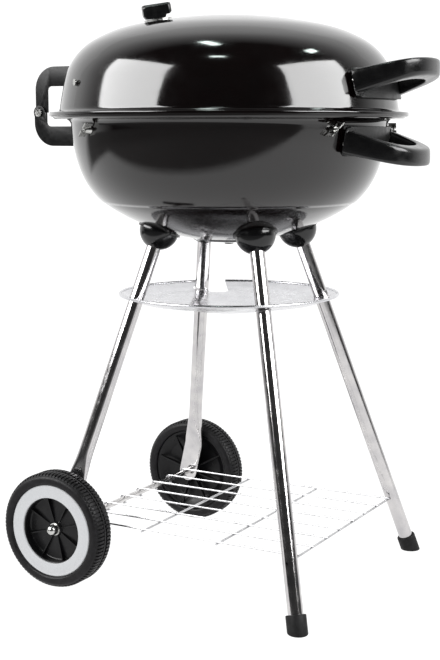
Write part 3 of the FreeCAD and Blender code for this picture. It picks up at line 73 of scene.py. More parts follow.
class Shader:
    """One material and the node recipes that the finishes share."""

    def __init__(self, name: str) -> None:
        """Starts a material with one Principled shader.

        Args:
            name: The material's name.
        """
        self.material = bpy.data.materials.new(name)
        self.material.use_nodes = True
        self.tree = self.material.node_tree
        self.surface = self.tree.nodes["Principled BSDF"]
        self.place = self.tree.nodes.new("ShaderNodeTexCoord").outputs["Object"]

    def fix(self, **values: float) -> None:
        """Sets plain numbers on the shader's sockets; an underscore stands for a space.

        Args:
            **values: Socket names and their numbers.
        """
        for name, number in values.items():
            self.surface.inputs[name.replace("_", " ")].default_value = number

    def colour(self, tint: Sequence[float]) -> None:
        """Sets one plain base colour."""
        self.surface.inputs["Base Color"].default_value = (*tint, 1.0)

    def moved(self, centre: Vector, turn: Quaternion, stretch: Sequence[float]) -> bpy.types.NodeSocket:
        """Object coordinates about a centre, turned and stretched.

        Args:
            centre: The point that becomes the origin.
            turn: The turn that brings the piece's own axis to Z.
            stretch: The scale along each turned axis.

        Returns:
            The coordinates' socket.
        """
        shift = self.tree.nodes.new("ShaderNodeVectorMath")
        shift.operation = "SUBTRACT"
        shift.inputs[1].default_value = centre
        self.tree.links.new(self.place, shift.inputs[0])
        mapping = self.tree.nodes.new("ShaderNodeMapping")
        mapping.inputs["Rotation"].default_value = turn.to_euler()
        self.tree.links.new(shift.outputs[0], mapping.inputs["Vector"])
        scaled = self.tree.nodes.new("ShaderNodeVectorMath")
        scaled.operation = "MULTIPLY"
        scaled.inputs[1].default_value = stretch
        self.tree.links.new(mapping.outputs[0], scaled.inputs[0])
        return scaled.outputs[0]

    def noise(self, pitch: float, detail: float = 3.0, where: Optional[bpy.types.NodeSocket] = None,
              roughness: float = 0.5) -> bpy.types.NodeSocket:
        """Cloudy noise.

        Args:
            pitch: The rough size of one cloud, in metres.
            detail: How many finer layers it has.
            where: Coordinates, or the object's own.
            roughness: How strong the finer layers are.

        Returns:
            The noise's value, from 0 to 1.
        """
        node = self.tree.nodes.new("ShaderNodeTexNoise")
        node.inputs["Scale"].default_value = 1.0 / pitch
        node.inputs["Detail"].default_value = detail
        node.inputs["Roughness"].default_value = roughness
        self.tree.links.new(where or self.place, node.inputs["Vector"])
        return node.outputs["Fac"]

    def grains(self, pitch: float) -> bpy.types.NodeSocket:
        """Small pebble-like cells of a moulded surface.

        Args:
            pitch: The size of a pebble, in metres.

        Returns:
            The distance to each cell's middle.
        """
        node = self.tree.nodes.new("ShaderNodeTexVoronoi")
        node.inputs["Scale"].default_value = 1.0 / pitch
        self.tree.links.new(self.place, node.inputs["Vector"])
        return node.outputs["Distance"]

    def ring_marks(self, centre: Vector, turn: Quaternion, pitch: float) -> bpy.types.NodeSocket:
        """Fine marks in circles about a piece's own axis, as spinning and brushing leave.

        Args:
            centre: A point on the axis.
            turn: The turn that brings the axis to Z.
            pitch: The width of one mark, in metres.

        Returns:
            The marks' value, from 0 to 1.
        """
        flat = self.moved(centre, turn, (1.0, 1.0, 0.0))
        length = self.tree.nodes.new("ShaderNodeVectorMath")
        length.operation = "LENGTH"
        self.tree.links.new(flat, length.inputs[0])
        node = self.tree.nodes.new("ShaderNodeTexNoise")
        node.noise_dimensions = "1D"
        node.inputs["Scale"].default_value = 1.0 / pitch
        node.inputs["Detail"].default_value = 2.0
        self.tree.links.new(length.outputs["Value"], node.inputs["W"])
        return node.outputs["Fac"]

    def ranged(self, source: bpy.types.NodeSocket, low: float, high: float,
               start: float = 0.3, end: float = 0.7) -> bpy.types.NodeSocket:
        """Spreads a value over a range.

        Args:
            source: The value.
            low: What start becomes.
            high: What end becomes.
            start: The lowest value that counts.
            end: The highest value that counts.

        Returns:
            The spread value.
        """
        node = self.tree.nodes.new("ShaderNodeMapRange")
        node.inputs["From Min"].default_value = start
        node.inputs["From Max"].default_value = end
        node.inputs["To Min"].default_value = low
        node.inputs["To Max"].default_value = high
        self.tree.links.new(source, node.inputs["Value"])
        return node.outputs["Result"]

    def tint_between(self, factor: bpy.types.NodeSocket, dark: Sequence[float],
                     light: Sequence[float]) -> bpy.types.NodeSocket:
        """Mixes two colours by a factor and feeds the base colour.

        Args:
            factor: 0 gives dark and 1 gives light.
            dark: The first colour.
            light: The second colour.

        Returns:
            The mixed colour.
        """
        node = self.tree.nodes.new("ShaderNodeMix")
        node.data_type = "RGBA"
        node.inputs["A"].default_value = (*dark, 1.0)
        node.inputs["B"].default_value = (*light, 1.0)
        self.tree.links.new(factor, node.inputs["Factor"])
        self.tree.links.new(node.outputs["Result"], self.surface.inputs["Base Color"])
        return node.outputs["Result"]

    def rough(self, source: bpy.types.NodeSocket, low: float, high: float) -> None:
        """Varies the roughness between two values."""
        self.tree.links.new(self.ranged(source, low, high), self.surface.inputs["Roughness"])

    def bump(self, height: bpy.types.NodeSocket, depth: float, strength: float = 1.0) -> None:
        """Adds relief from a height, on top of any earlier relief.

        Args:
            height: The height's value.
            depth: The relief's depth, in metres.
            strength: The share of the relief that shows.
        """
        node = self.tree.nodes.new("ShaderNodeBump")
        node.inputs["Distance"].default_value = depth
        node.inputs["Strength"].default_value = strength
        self.tree.links.new(height, node.inputs["Height"])
        normal = self.surface.inputs["Normal"]
        if normal.is_linked:
            self.tree.links.new(normal.links[0].from_socket, node.inputs["Normal"])
        self.tree.links.new(node.outputs["Normal"], normal)


# ---------------------------------------------------------------- finishes

@dataclass(frozen=True)
class Enamel:
    """Fired black enamel: a deep glossy coat with faint orange peel and pinholes."""

    name: str = "black_enamel"
    dark: tuple[float, float, float] = (0.0016, 0.0008, 0.0008)
    light: tuple[float, float, float] = (0.0046, 0.0021, 0.0022)
    peel: float = 7 * MM
    speck: float = 1.3 * MM

    def make(self) -> bpy.types.Material:
        """Makes the material."""
        shader = Shader(self.name)
        shader.tint_between(shader.noise(40 * MM), self.dark, self.light)
        shader.rough(shader.noise(16 * MM), 0.08, 0.14)
        shader.fix(IOR=1.5, Coat_Weight=0.4, Coat_Roughness=0.07, Coat_IOR=1.45)
        shader.bump(shader.noise(self.peel, 1.0), 0.07 * MM, 0.4)
        shader.bump(shader.noise(self.speck, 2.0), 0.012 * MM, 0.5)
        return shader.material


@dataclass(frozen=True)
class Moulding:
    """Black moulded plastic with a fine pebbled skin and slight sheen changes."""

    name: str
    dark: tuple[float, float, float] = (0.003, 0.003, 0.0035)
    light: tuple[float, float, float] = (0.007, 0.007, 0.0075)
    gloss: tuple[float, float] = (0.16, 0.27)
    sheen: float = 0.5
    pebble: float = 0.9 * MM
    depth: float = 0.03 * MM

    def make(self) -> bpy.types.Material:
        """Makes the material."""
        shader = Shader(self.name)
        shader.tint_between(shader.noise(18 * MM), self.dark, self.light)
        shader.rough(shader.noise(9 * MM), *self.gloss)
        shader.fix(IOR=1.5, Specular_IOR_Level=self.sheen)
        shader.bump(shader.grains(self.pebble), self.depth, 0.5)
        return shader.material


@dataclass(frozen=True)
class Plating:
    """Bright plated steel with faint smears, drawing marks and pits."""

    name: str
    dark: tuple[float, float, float] = (0.50, 0.49, 0.49)
    light: tuple[float, float, float] = (0.72, 0.71, 0.70)
    gloss: tuple[float, float] = (0.07, 0.17)
    marks: Direction = Direction.NONE
    centre: tuple[float, float, float] = (0.0, 0.0, 0.0)
    axis: tuple[float, float, float] = (0.0, 0.0, 1.0)
    pitch: float = 0.7 * MM
    relief: float = 0.012 * MM

    def make(self) -> bpy.types.Material:
        """Makes the material."""
        shader = Shader(self.name)
        shader.fix(Metallic=1.0)
        turn = Vector(self.axis).rotation_difference(Vector((0, 0, 1)))
        centre = Vector(self.centre)
        if self.marks is Direction.RINGS:
            lines = shader.ring_marks(centre, turn, self.pitch)
        elif self.marks is Direction.ALONG:
            drawn = shader.moved(centre, turn, (1.0, 1.0, 0.02))
            lines = shader.noise(self.pitch, 2.0, drawn)
        else:
            lines = shader.noise(self.pitch, 2.0)
        shader.tint_between(shader.ranged(shader.noise(22 * MM), 0.0, 1.0), self.dark, self.light)
        shader.rough(shader.noise(12 * MM), *self.gloss)
        shader.bump(lines, self.relief, 0.6)
        shader.bump(shader.noise(3 * MM, 1.0), 0.01 * MM, 0.4)
        return shader.material


@dataclass(frozen=True)
class SatinPaint:
    """Black paint on pressed steel: soft sheen, light orange peel and paler scuffs."""

    name: str = "satin_paint"
    dark: tuple[float, float, float] = (0.004, 0.004, 0.0045)
    scuff: tuple[float, float, float] = (0.011, 0.011, 0.012)

    def make(self) -> bpy.types.Material:
        """Makes the material."""
        shader = Shader(self.name)
        scuffs = shader.ranged(shader.noise(6 * MM, 6.0, roughness=0.7), 0.0, 1.0, 0.55, 0.75)
        shader.tint_between(scuffs, self.dark, self.scuff)
        shader.rough(shader.noise(5 * MM), 0.28, 0.42)
        shader.fix(Specular_IOR_Level=0.25)
        shader.bump(shader.noise(2 * MM, 1.0), 0.03 * MM, 0.5)
        return shader.material


@dataclass(frozen=True)
class Rubber:
    """Dull black rubber or soft tyre plastic, with dust in its pores."""

    name: str
    dark: tuple[float, float, float] = (0.010, 0.010, 0.011)
    dust: tuple[float, float, float] = (0.035, 0.035, 0.038)
    gloss: tuple[float, float] = (0.50, 0.68)

    def make(self) -> bpy.types.Material:
        """Makes the material."""
        shader = Shader(self.name)
        shader.tint_between(shader.ranged(shader.noise(7 * MM, 5.0), 0.0, 1.0, 0.45, 0.75), self.dark, self.dust)
        shader.rough(shader.noise(4 * MM), *self.gloss)
        shader.fix(Specular_IOR_Level=0.22)
        shader.bump(shader.noise(0.8 * MM, 2.0), 0.05 * MM, 0.5)
        return shader.material


@dataclass(frozen=True)
class SilverPaint:
    """Silver-painted ring: satin, with turned marks and a fine sparkle."""

    name: str
    centre: tuple[float, float, float]
    axis: tuple[float, float, float] = (0.0, 1.0, 0.0)
    dark: tuple[float, float, float] = (0.80, 0.82, 0.84)
    light: tuple[float, float, float] = (0.93, 0.94, 0.96)
    pitch: float = 0.6 * MM

    def make(self) -> bpy.types.Material:
        """Makes the material."""
        shader = Shader(self.name)
        turn = Vector(self.axis).rotation_difference(Vector((0, 0, 1)))
        shader.tint_between(shader.ranged(shader.noise(0.7 * MM, 2.0), 0.0, 1.0), self.dark, self.light)
        shader.rough(shader.noise(8 * MM), 0.38, 0.52)
        shader.bump(shader.ring_marks(Vector(self.centre), turn, self.pitch), 0.02 * MM, 0.5)
        return shader.material


@dataclass
class Palette:
    """Every finish of the grill, made once."""

    made: dict[str, bpy.types.Material] = field(default_factory=dict)

    def get(self, finish: Union[Enamel, Moulding, Plating, SatinPaint, Rubber, SilverPaint]) -> bpy.types.Material:
        """Gives a finish's material, making it the first time.

        Args:
            finish: The finish.

        Returns:
            Its material.
        """
        if finish.name not in self.made:
            self.made[finish.name] = finish.make()
        return self.made[finish.name]


PALETTE = Palette()
ENAMEL = Enamel()
HANDLE_PLASTIC = Moulding("handle_plastic")
SHIELD_PLASTIC = Moulding("shield_plastic", gloss=(0.34, 0.5))
SOCKET_BLACK = Moulding("socket_black", gloss=(0.10, 0.2), pebble=4 * MM, depth=0.02 * MM)
HUB_PLASTIC = Moulding("hub_plastic", dark=(0.004, 0.004, 0.0045), light=(0.010, 0.0095, 0.011),
                       gloss=(0.26, 0.42), sheen=0.25, depth=0.03 * MM)
HINGE_PAINT = SatinPaint()
FOOT_RUBBER = Rubber("foot_rubber", dark=(0.005, 0.005, 0.0055), dust=(0.014, 0.014, 0.015))
TYRE_RUBBER = Rubber("tyre_rubber", dark=(0.005, 0.0045, 0.0055), dust=(0.015, 0.014, 0.017), gloss=(0.4, 0.55))
ZINC = Plating("bright_zinc", dark=(0.42, 0.42, 0.41), light=(0.68, 0.68, 0.66), gloss=(0.16, 0.34))
WIRE_PLATE = Plating("wire_plate", dark=(0.42, 0.42, 0.43), light=(0.62, 0.62, 0.63), gloss=(0.10, 0.22))
GRATE_PLATE = Plating("grate_plate", gloss=(0.14, 0.3))


# ---------------------------------------------------------------- mesh tools

def arc(centre: tuple[float, float], radius: float, start: float, end: float, steps: int) -> Profile:
    """Points of an arc, both ends included.

    Args:
        centre: The arc's centre.
        radius: Its radius.
        start: The angle of the first point, in degrees.
        end: The angle of the last point, in degrees.
        steps: How many straight steps it takes.

    Returns:
        The points.
    """
    points = []
    for step in range(steps + 1):
        angle = math.radians(start + (end - start) * step / steps)
        points.append((centre[0] + radius * math.cos(angle), centre[1] + radius * math.sin(angle)))
    return points


def lathe(profile: Profile, segments: int, closed: bool = True) -> bmesh.types.BMesh:
    """Turns a profile of radius and height about Z.

    Args:
        profile: The points, in order.
        segments: Steps round the axis.
        closed: Whether the last point joins the first.

    Returns:
        The new mesh.
    """
    mesh = bmesh.new()
    rings = []
    for radius, height in profile:
        if radius < 1e-7:
            rings.append([mesh.verts.new((0.0, 0.0, height))])
            continue
        turns = [2 * math.pi * step / segments for step in range(segments)]
        rings.append([mesh.verts.new((radius * math.cos(a), radius * math.sin(a), height)) for a in turns])
    last = len(rings) if closed else len(rings) - 1
    for index in range(last):
        low, high = rings[index], rings[(index + 1) % len(rings)]
        if len(low) == 1 and len(high) == 1:
            continue
        for step in range(segments):
            after = (step + 1) % segments
            corners = [low[step % len(low)], low[after % len(low)], high[after % len(high)], high[step % len(high)]]
            corners = list(dict.fromkeys(corners))
            mesh.faces.new(corners)
    bmesh.ops.recalc_face_normals(mesh, faces=mesh.faces)
    return mesh


def block_ring(mesh: bmesh.types.BMesh, outline: Sequence[Sequence[Vector]]) -> None:
    """Adds a closed block from two matching end outlines.

    Args:
        mesh: The mesh that gets it.
        outline: The corners of its two ends.
    """
    first = [mesh.verts.new(corner) for corner in outline[0]]
    second = [mesh.verts.new(corner) for corner in outline[1]]
    mesh.faces.new(first)
    mesh.faces.new(list(reversed(second)))
    for index in range(len(first)):
        after = (index + 1) % len(first)
        mesh.faces.new([first[after], first[index], second[index], second[after]])


def piece(name: str, mesh: bmesh.types.BMesh, body: str, material: bpy.types.Material,
          nodes: Iterable[str], smooth_angle: float = 40.0) -> bpy.types.Object:
    """Makes a shown piece that stands for CAD nodes.

    Args:
        name: The piece's name.
        mesh: Its mesh, in the row frame; it is used up.
        body: The CAD body that it rides on.
        material: Its material.
        nodes: The CAD nodes that it stands for.
        smooth_angle: Edges flatter than this, in degrees, are shaded smooth.

    Returns:
        The new object.
    """
    bmesh.ops.recalc_face_normals(mesh, faces=mesh.faces)
    for edge in mesh.edges:
        edge.smooth = len(edge.link_faces) == 2 and edge.calc_face_angle(0.0) < math.radians(smooth_angle)
    for face in mesh.faces:
        face.smooth = True
    data = bpy.data.meshes.new(name)
    mesh.to_mesh(data)
    mesh.free()
    made = bpy.data.objects.new(name, data)
    bpy.context.scene.collection.objects.link(made)
    data.materials.append(material)
    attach(made, body)
    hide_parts(*nodes)
    LOG.info("%s stands for %s on %s", name, ", ".join(nodes), body)
    return made


def dress(node: str, material: bpy.types.Material, bevel: float = 0.0, angle: float = 35.0) -> bpy.types.Object:
    """Gives a CAD node its material, smooth shading and softened edges.

    Args:
        node: The CAD node.
        material: Its material.
        bevel: The width of its softened edges, in metres; 0 leaves them sharp.
        angle: Edges sharper than this, in degrees, stay crisp or are softened.

    Returns:
        The node's object.
    """
    thing = frame["nodes"][node]
    thing.data.materials.clear()
    thing.data.materials.append(material)
    weld = thing.modifiers.new("weld", "WELD")
    weld.merge_threshold = 0.00001
    if bevel:
        plain = thing.modifiers.new("plain", "DECIMATE")
        plain.decimate_type = "DISSOLVE"
        plain.angle_limit = math.radians(1.0)
        soften = thing.modifiers.new("soften", "BEVEL")
        soften.width = bevel
        soften.segments = 3
        soften.limit_method = "ANGLE"
        soften.angle_limit = math.radians(angle)
        soften.harden_normals = False
    thing.data.shade_smooth()
    if not bevel:
        crease = thing.modifiers.new("crease", "EDGE_SPLIT")
        crease.split_angle = math.radians(angle)
    LOG.info("%s keeps its CAD mesh", node)
    return thing


def middle(node: str) -> Vector:
    """Middle of a CAD node's box."""
    low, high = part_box(node)
    return (low + high) / 2


# ---------------------------------------------------------------- kettle shells

class ArcWall:
    """A round shell's upright section: tangent arcs from the rim to a cap on the axis."""

    def __init__(self, radius: float, height: float, angle: float, side: int) -> None:
        """Starts the wall at its rim end.

        Args:
            radius: Its distance from the axis there.
            height: Its height there.
            angle: Its slope there from upright, in degrees.
            side: 1 for a wall that climbs, and -1 for one that goes down.
        """
        self.radius, self.height, self.angle, self.side = radius, height, angle, side
        self.arcs: list[tuple[float, float, float, float, float]] = []

    def bend(self, turn: float, end: float) -> None:
        """Adds a tangent arc.

        Args:
            turn: The arc's radius.
            end: The wall's slope at its end, in degrees.
        """
        tilt = math.radians(self.angle)
        centre_r = self.radius - turn * math.cos(tilt)
        centre_z = self.height - self.side * turn * math.sin(tilt)
        self.arcs.append((centre_r, centre_z, turn, self.angle, end))
        self.step_to(centre_r, centre_z, turn, end)

    def step_to(self, centre_r: float, centre_z: float, turn: float, angle: float) -> None:
        """Sets where the next arc starts, on a circle about a centre."""
        self.radius = centre_r + turn * math.cos(math.radians(angle))
        self.height = centre_z + self.side * turn * math.sin(math.radians(angle))
        self.angle = angle

    def close(self) -> None:
        """Adds the cap."""
        self.bend(self.radius / math.cos(math.radians(self.angle)), 90.0)

    def line(self, offset: float, step: float) -> Profile:
        """Points from the rim end to the axis.

        Args:
            offset: How far outside the wall the line lies.
            step: The length of one straight step.

        Returns:
            The points.
        """
        points: Profile = []
        for centre_r, centre_z, turn, start, end in self.arcs:
            steps = max(2, math.ceil(turn * math.radians(end - start) / step))
            found = arc((centre_r, centre_z), turn + offset, self.side * start, self.side * end, steps)
            if points and math.dist(points[-1], found[0]) < 1e-6:
                found = found[1:]
            points += found
        points[-1] = (0.0, points[-1][1])
        return points


@dataclass
class LidShell:
    """The lid's pressed sheet: turned-down lip, flange, side, shoulder and crown."""

    rim_radius: float = 230 * MM
    wall: float = 1.2 * MM
    seat_gap: float = 0.3 * MM
    lip_drop: float = 3.5 * MM
    wall_radius: float = 216.8 * MM
    wall_rise: float = 7.2 * MM
    segments: int = 256
    step: float = 4 * MM

    def section(self) -> Profile:
        """The outline of the lid's sheet, from its lip over the crown and back inside."""
        rim_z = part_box("bowl_shell")[1].z
        under = rim_z + self.seat_gap
        over = under + self.wall
        sweep = rim_z + self.wall_rise - over
        shell = ArcWall(self.wall_radius, rim_z + self.wall_rise, 7.6, 1)
        shell.bend(300 * MM, 15.0)
        shell.bend(75 * MM, 59.8)
        shell.bend(166 * MM, 77.6)
        shell.close()
        outer_round = 1.5 * self.wall
        points = [(self.rim_radius - self.wall * 0.5, rim_z - self.lip_drop),
                  (self.rim_radius - self.wall * 0.12, rim_z - self.lip_drop + self.wall * 0.12),
                  (self.rim_radius, rim_z - self.lip_drop + self.wall * 0.5)]
        points += arc((self.rim_radius - outer_round, over - outer_round), outer_round, 0, 90, 5)
        points += arc((self.wall_radius + sweep, rim_z + self.wall_rise), sweep, 270, 180 + 7.6, 8)[:-1]
        points += shell.line(0.0, self.step)
        inside = list(reversed(shell.line(-self.wall, self.step)))
        points += inside
        points += arc((self.wall_radius + sweep, rim_z + self.wall_rise), sweep + self.wall, 180 + 7.6, 270, 8)[1:]
        points += [(self.rim_radius - self.wall, under), (self.rim_radius - self.wall, rim_z - self.lip_drop)]
        return points

    def build(self) -> bpy.types.Object:
        """Makes the lid.

        Returns:
            The lid's piece.
        """
        mesh = lathe(self.section(), self.segments)
        bmesh.ops.translate(mesh, verts=mesh.verts, vec=(middle("lid_shell").x, 0, 0))
        return piece("lid_enamel", mesh, "lid", PALETTE.get(ENAMEL), ["lid_shell"])


@dataclass
class BowlShell:
    """The bowl's pressed sheet: rolled bead, ledge, cove, side, crease and round bottom."""

    rim_radius: float = 226 * MM
    bead: float = 3.5 * MM
    wall: float = 1.2 * MM
    neck_radius: float = 203.2 * MM
    neck_drop: float = 14.8 * MM
    crease_step: float = 1.0 * MM
    segments: int = 256
    step: float = 4 * MM

    def section(self) -> Profile:
        """The outline of the bowl's sheet, from its bead down outside and back up inside."""
        rim_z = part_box("bowl_shell")[1].z
        bead_r, ledge_z = self.rim_radius - self.bead, rim_z - 2 * self.bead
        cove = self.neck_drop - 2 * self.bead
        shell = ArcWall(self.neck_radius, rim_z - self.neck_drop, 2.2, -1)
        shell.bend(186 * MM, 20.3)
        shell.bend(100.5 * MM, 48.5)
        centre_r, centre_z, turn = shell.arcs[-1][:3]
        shell.step_to(centre_r, centre_z, turn - self.crease_step, 49.3)
        shell.bend(turn - self.crease_step, 58.7)
        shell.close()
        points = arc((bead_r, rim_z - self.bead), self.bead, 150, -90, 14)
        points += arc((self.neck_radius + cove, rim_z - self.neck_drop), cove, 90, 180, 8)[:-1]
        points += shell.line(0.0, self.step)
        points += list(reversed(shell.line(-self.wall, self.step)))
        points += arc((self.neck_radius + cove, rim_z - self.neck_drop), cove + self.wall, 180, 90, 8)[1:]
        return points

    def build(self) -> bpy.types.Object:
        """Makes the bowl.

        Returns:
            The bowl's piece.
        """
        mesh = lathe(self.section(), self.segments)
        bmesh.ops.translate(mesh, verts=mesh.verts, vec=(middle("bowl_shell").x, 0, 0))
        return piece("bowl_enamel", mesh, "stand", PALETTE.get(ENAMEL), ["bowl_shell"])


# ---------------------------------------------------------------- wheels

class Side(Enum):
    """The two wheels, by the sign of their Y."""

    FRONT = -1
    REAR = 1


@dataclass
class Wheel:
    """One wheel: treaded tyre, ribbed hub and silver trim ring."""

    side: Side
    tyre_wall: float = 15 * MM
    tread_depth: float = 2.2 * MM
    tread_count: int = 92
    block_share: float = 0.6
    trim_outer: float = 60 * MM
    trim_inner: float = 43 * MM
    trim_wall: float = 1.5 * MM
    recess: float = 13 * MM
    boss: float = 9 * MM
    rib_count: int = 8
    segments: int = 128

    def __post_init__(self) -> None:
        """Reads the wheel's place and size from the frame."""
        self.label = self.side.name.lower()
        low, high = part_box(f"tyre_{self.label}")
        self.centre = (low + high) / 2
        self.radius = (high.z - low.z) / 2
        self.half = (high.y - low.y) / 2
        self.body = f"wheel_{self.label}"

    def to_place(self, mesh: bmesh.types.BMesh) -> None:
        """Turns a mesh whose Z is the wheel's outward axis into the wheel's place."""
        turn = Matrix.Rotation(math.radians(-90 * self.side.value), 4, "X")
        bmesh.ops.transform(mesh, matrix=Matrix.Translation(self.centre) @ turn, verts=mesh.verts)

    def tyre(self) -> bpy.types.Object:
        """Makes the tyre: a round-shouldered band with two rows of tread blocks and a centre line.

        Returns:
            The tyre's piece.
        """
        inner, half = self.radius - self.tyre_wall, self.half
        base = self.radius - self.tread_depth
        profile: Profile = [(inner, -half + 3 * MM)]
        profile += arc((inner + 4 * MM, -half + 4 * MM), 4 * MM, 200, 270, 4)
        profile += arc((base - 6 * MM, -half + 6 * MM), 6 * MM, 270, 340, 6)
        profile += [(base, -half + 9 * MM), (base, -1.6 * MM), (self.radius - 0.6 * MM, -1.2 * MM),
                    (self.radius - 0.6 * MM, 1.2 * MM), (base, 1.6 * MM), (base, half - 9 * MM)]
        profile += arc((base - 6 * MM, half - 6 * MM), 6 * MM, 20, 90, 6)
        profile += arc((inner + 4 * MM, half - 4 * MM), 4 * MM, 90, 160, 4)
        profile += [(inner, half - 3 * MM)]
        mesh = lathe(profile, self.segments)
        pitch = 2 * math.pi / self.tread_count
        for row in (-1, 1):
            for number in range(self.tread_count):
                start = (number + (0.5 if row > 0 else 0.0)) * pitch
                self.tread_block(mesh, start, start + pitch * self.block_share, row, base)
        self.to_place(mesh)
        return piece(f"tyre_{self.label}_tread", mesh, self.body, PALETTE.get(TYRE_RUBBER),
                     [f"tyre_{self.label}"], 30.0)

    def tread_block(self, mesh: bmesh.types.BMesh, start: float, end: float, row: int, base: float) -> None:
        """Adds one tread block that runs from the centre line down over the shoulder.

        Args:
            mesh: The tyre's mesh.
            start: The angle where it starts.
            end: The angle where it ends.
            row: The side of the centre line, -1 or 1.
            base: The radius that it stands on.
        """
        root = base - 0.8 * MM
        section = [(root, 3.2 * MM), (self.radius, 3.4 * MM), (self.radius, 10.5 * MM),
                   (self.radius - 1.2 * MM, 13.6 * MM), (self.radius - 3.6 * MM, 15.6 * MM),
                   (self.radius - 7.0 * MM, 16.6 * MM), (root - 5.5 * MM, 13.0 * MM)]
        ends = []
        for angle in (start, end):
            ends.append([Vector((r * math.cos(angle), r * math.sin(angle), row * y)) for r, y in section])
        block_ring(mesh, ends)

    def hub(self) -> bpy.types.Object:
        """Makes the hub: a dished web with ribs, a boss, a stepped rim and a plain back.

        Returns:
            The hub's piece.
        """
        rim = self.radius - self.tyre_wall - 0.3 * MM
        face = self.half - 3 * MM - self.trim_wall
        well, web = self.trim_inner - 1 * MM, face - self.recess
        back = -self.half + 5 * MM
        low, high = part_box("axle")
        bore = (high.z - low.z) / 2 + 0.06 * MM
        profile: Profile = [(bore, -self.half), (self.boss, -self.half), (self.boss, web - 4 * MM),
                            (well + 2 * MM, web - 3 * MM), (well + 4 * MM, web - 4 * MM),
                            (rim - 4 * MM, back + 1 * MM), (rim - 3 * MM, back), (rim - 0.6 * MM, back),
                            (rim, back + 0.6 * MM), (rim, face), (well + 1.2 * MM, face), (well, face - 1.2 * MM)]
        profile += arc((well - 2.5 * MM, web + 3.5 * MM), 2.5 * MM, 0, -90, 5)
        profile += [(well - 8 * MM, web + 0.6 * MM), (self.boss + 6 * MM, web + 1.5 * MM),
                    (self.boss + 1 * MM, web + 2.2 * MM), (self.boss, web + 4.2 * MM),
                    (self.boss - 0.8 * MM, web + 5 * MM), (bore, web + 5 * MM)]
        mesh = lathe(profile, self.segments)
        for number in range(self.rib_count):
            turn = 2 * math.pi * (number + 0.35) / self.rib_count
            self.rib(mesh, turn, self.boss - 1 * MM, well + 0.6 * MM, (web - 0.5 * MM, web - 0.5 * MM),
                     (web + 3.6 * MM, web + 6.0 * MM))
            self.rib(mesh, turn, self.boss - 1 * MM, rim - 4 * MM, (web - 3.4 * MM, back + 1.2 * MM),
                     (web - 16 * MM, back + 0.4 * MM))
        self.to_place(mesh)
        return piece(f"hub_{self.label}_web", mesh, self.body, PALETTE.get(HUB_PLASTIC),
                     [f"hub_{self.label}"], 35.0)

    def rib(self, mesh: bmesh.types.BMesh, turn: float, inward: float, outward: float,
            base: tuple[float, float], crest: tuple[float, float]) -> None:
        """Adds one tapered rib along a radius.

        Args:
            mesh: The hub's mesh.
            turn: The rib's angle.
            inward: The radius where it starts.
            outward: The radius where it ends.
            base: The heights of its root at both ends.
            crest: The heights of its edge at both ends.
        """
        half_base, half_top = 1.3 * MM, 0.8 * MM
        ends = []
        for reach, root, edge in ((inward, base[0], crest[0]), (outward, base[1], crest[1])):
            section = [(-half_base, root), (half_base, root), (half_top, edge), (-half_top, edge)]
            ends.append([Vector((reach * math.cos(turn) - y * math.sin(turn),
                                 reach * math.sin(turn) + y * math.cos(turn), z)) for y, z in section])
        block_ring(mesh, ends)

    def trim(self) -> bpy.types.Object:
        """Makes the silver ring: a shallow crowned disc with rolled edges.

        Returns:
            The ring's piece.
        """
        rim = self.radius - self.tyre_wall - 0.3 * MM
        face = self.half - 3 * MM - self.trim_wall + 0.1 * MM
        top = face + self.trim_wall - 0.1 * MM
        profile: Profile = [(self.trim_inner, face), (rim, face), (rim, top)]
        profile += arc((rim - 1.4 * MM, top), 1.0 * MM, 0, 120, 5)[1:]
        steps = 8
        for step in range(1, steps):
            share = step / steps
            radius = rim - 2.4 * MM + (self.trim_inner + 2.4 * MM - rim) * share + 0.0
            profile.append((radius, top + 0.5 * MM + 0.5 * MM * math.sin(math.pi * share)))
        profile += arc((self.trim_inner + 1.0 * MM, top - 0.1 * MM), 0.9 * MM, 60, 180, 5)
        mesh = lathe(profile, self.segments)
        self.to_place(mesh)
        finish = SilverPaint(f"trim_silver_{self.label}", tuple(self.centre))
        return piece(f"trim_{self.label}_ring", mesh, self.body, PALETTE.get(finish),
                     [f"trim_ring_{self.label}"])

    def build(self) -> list[bpy.types.Object]:
        """Makes the wheel's pieces.

        Returns:
            The three pieces.
        """
        return [self.tyre(), self.hub(), self.trim()]


# ---------------------------------------------------------------- legs

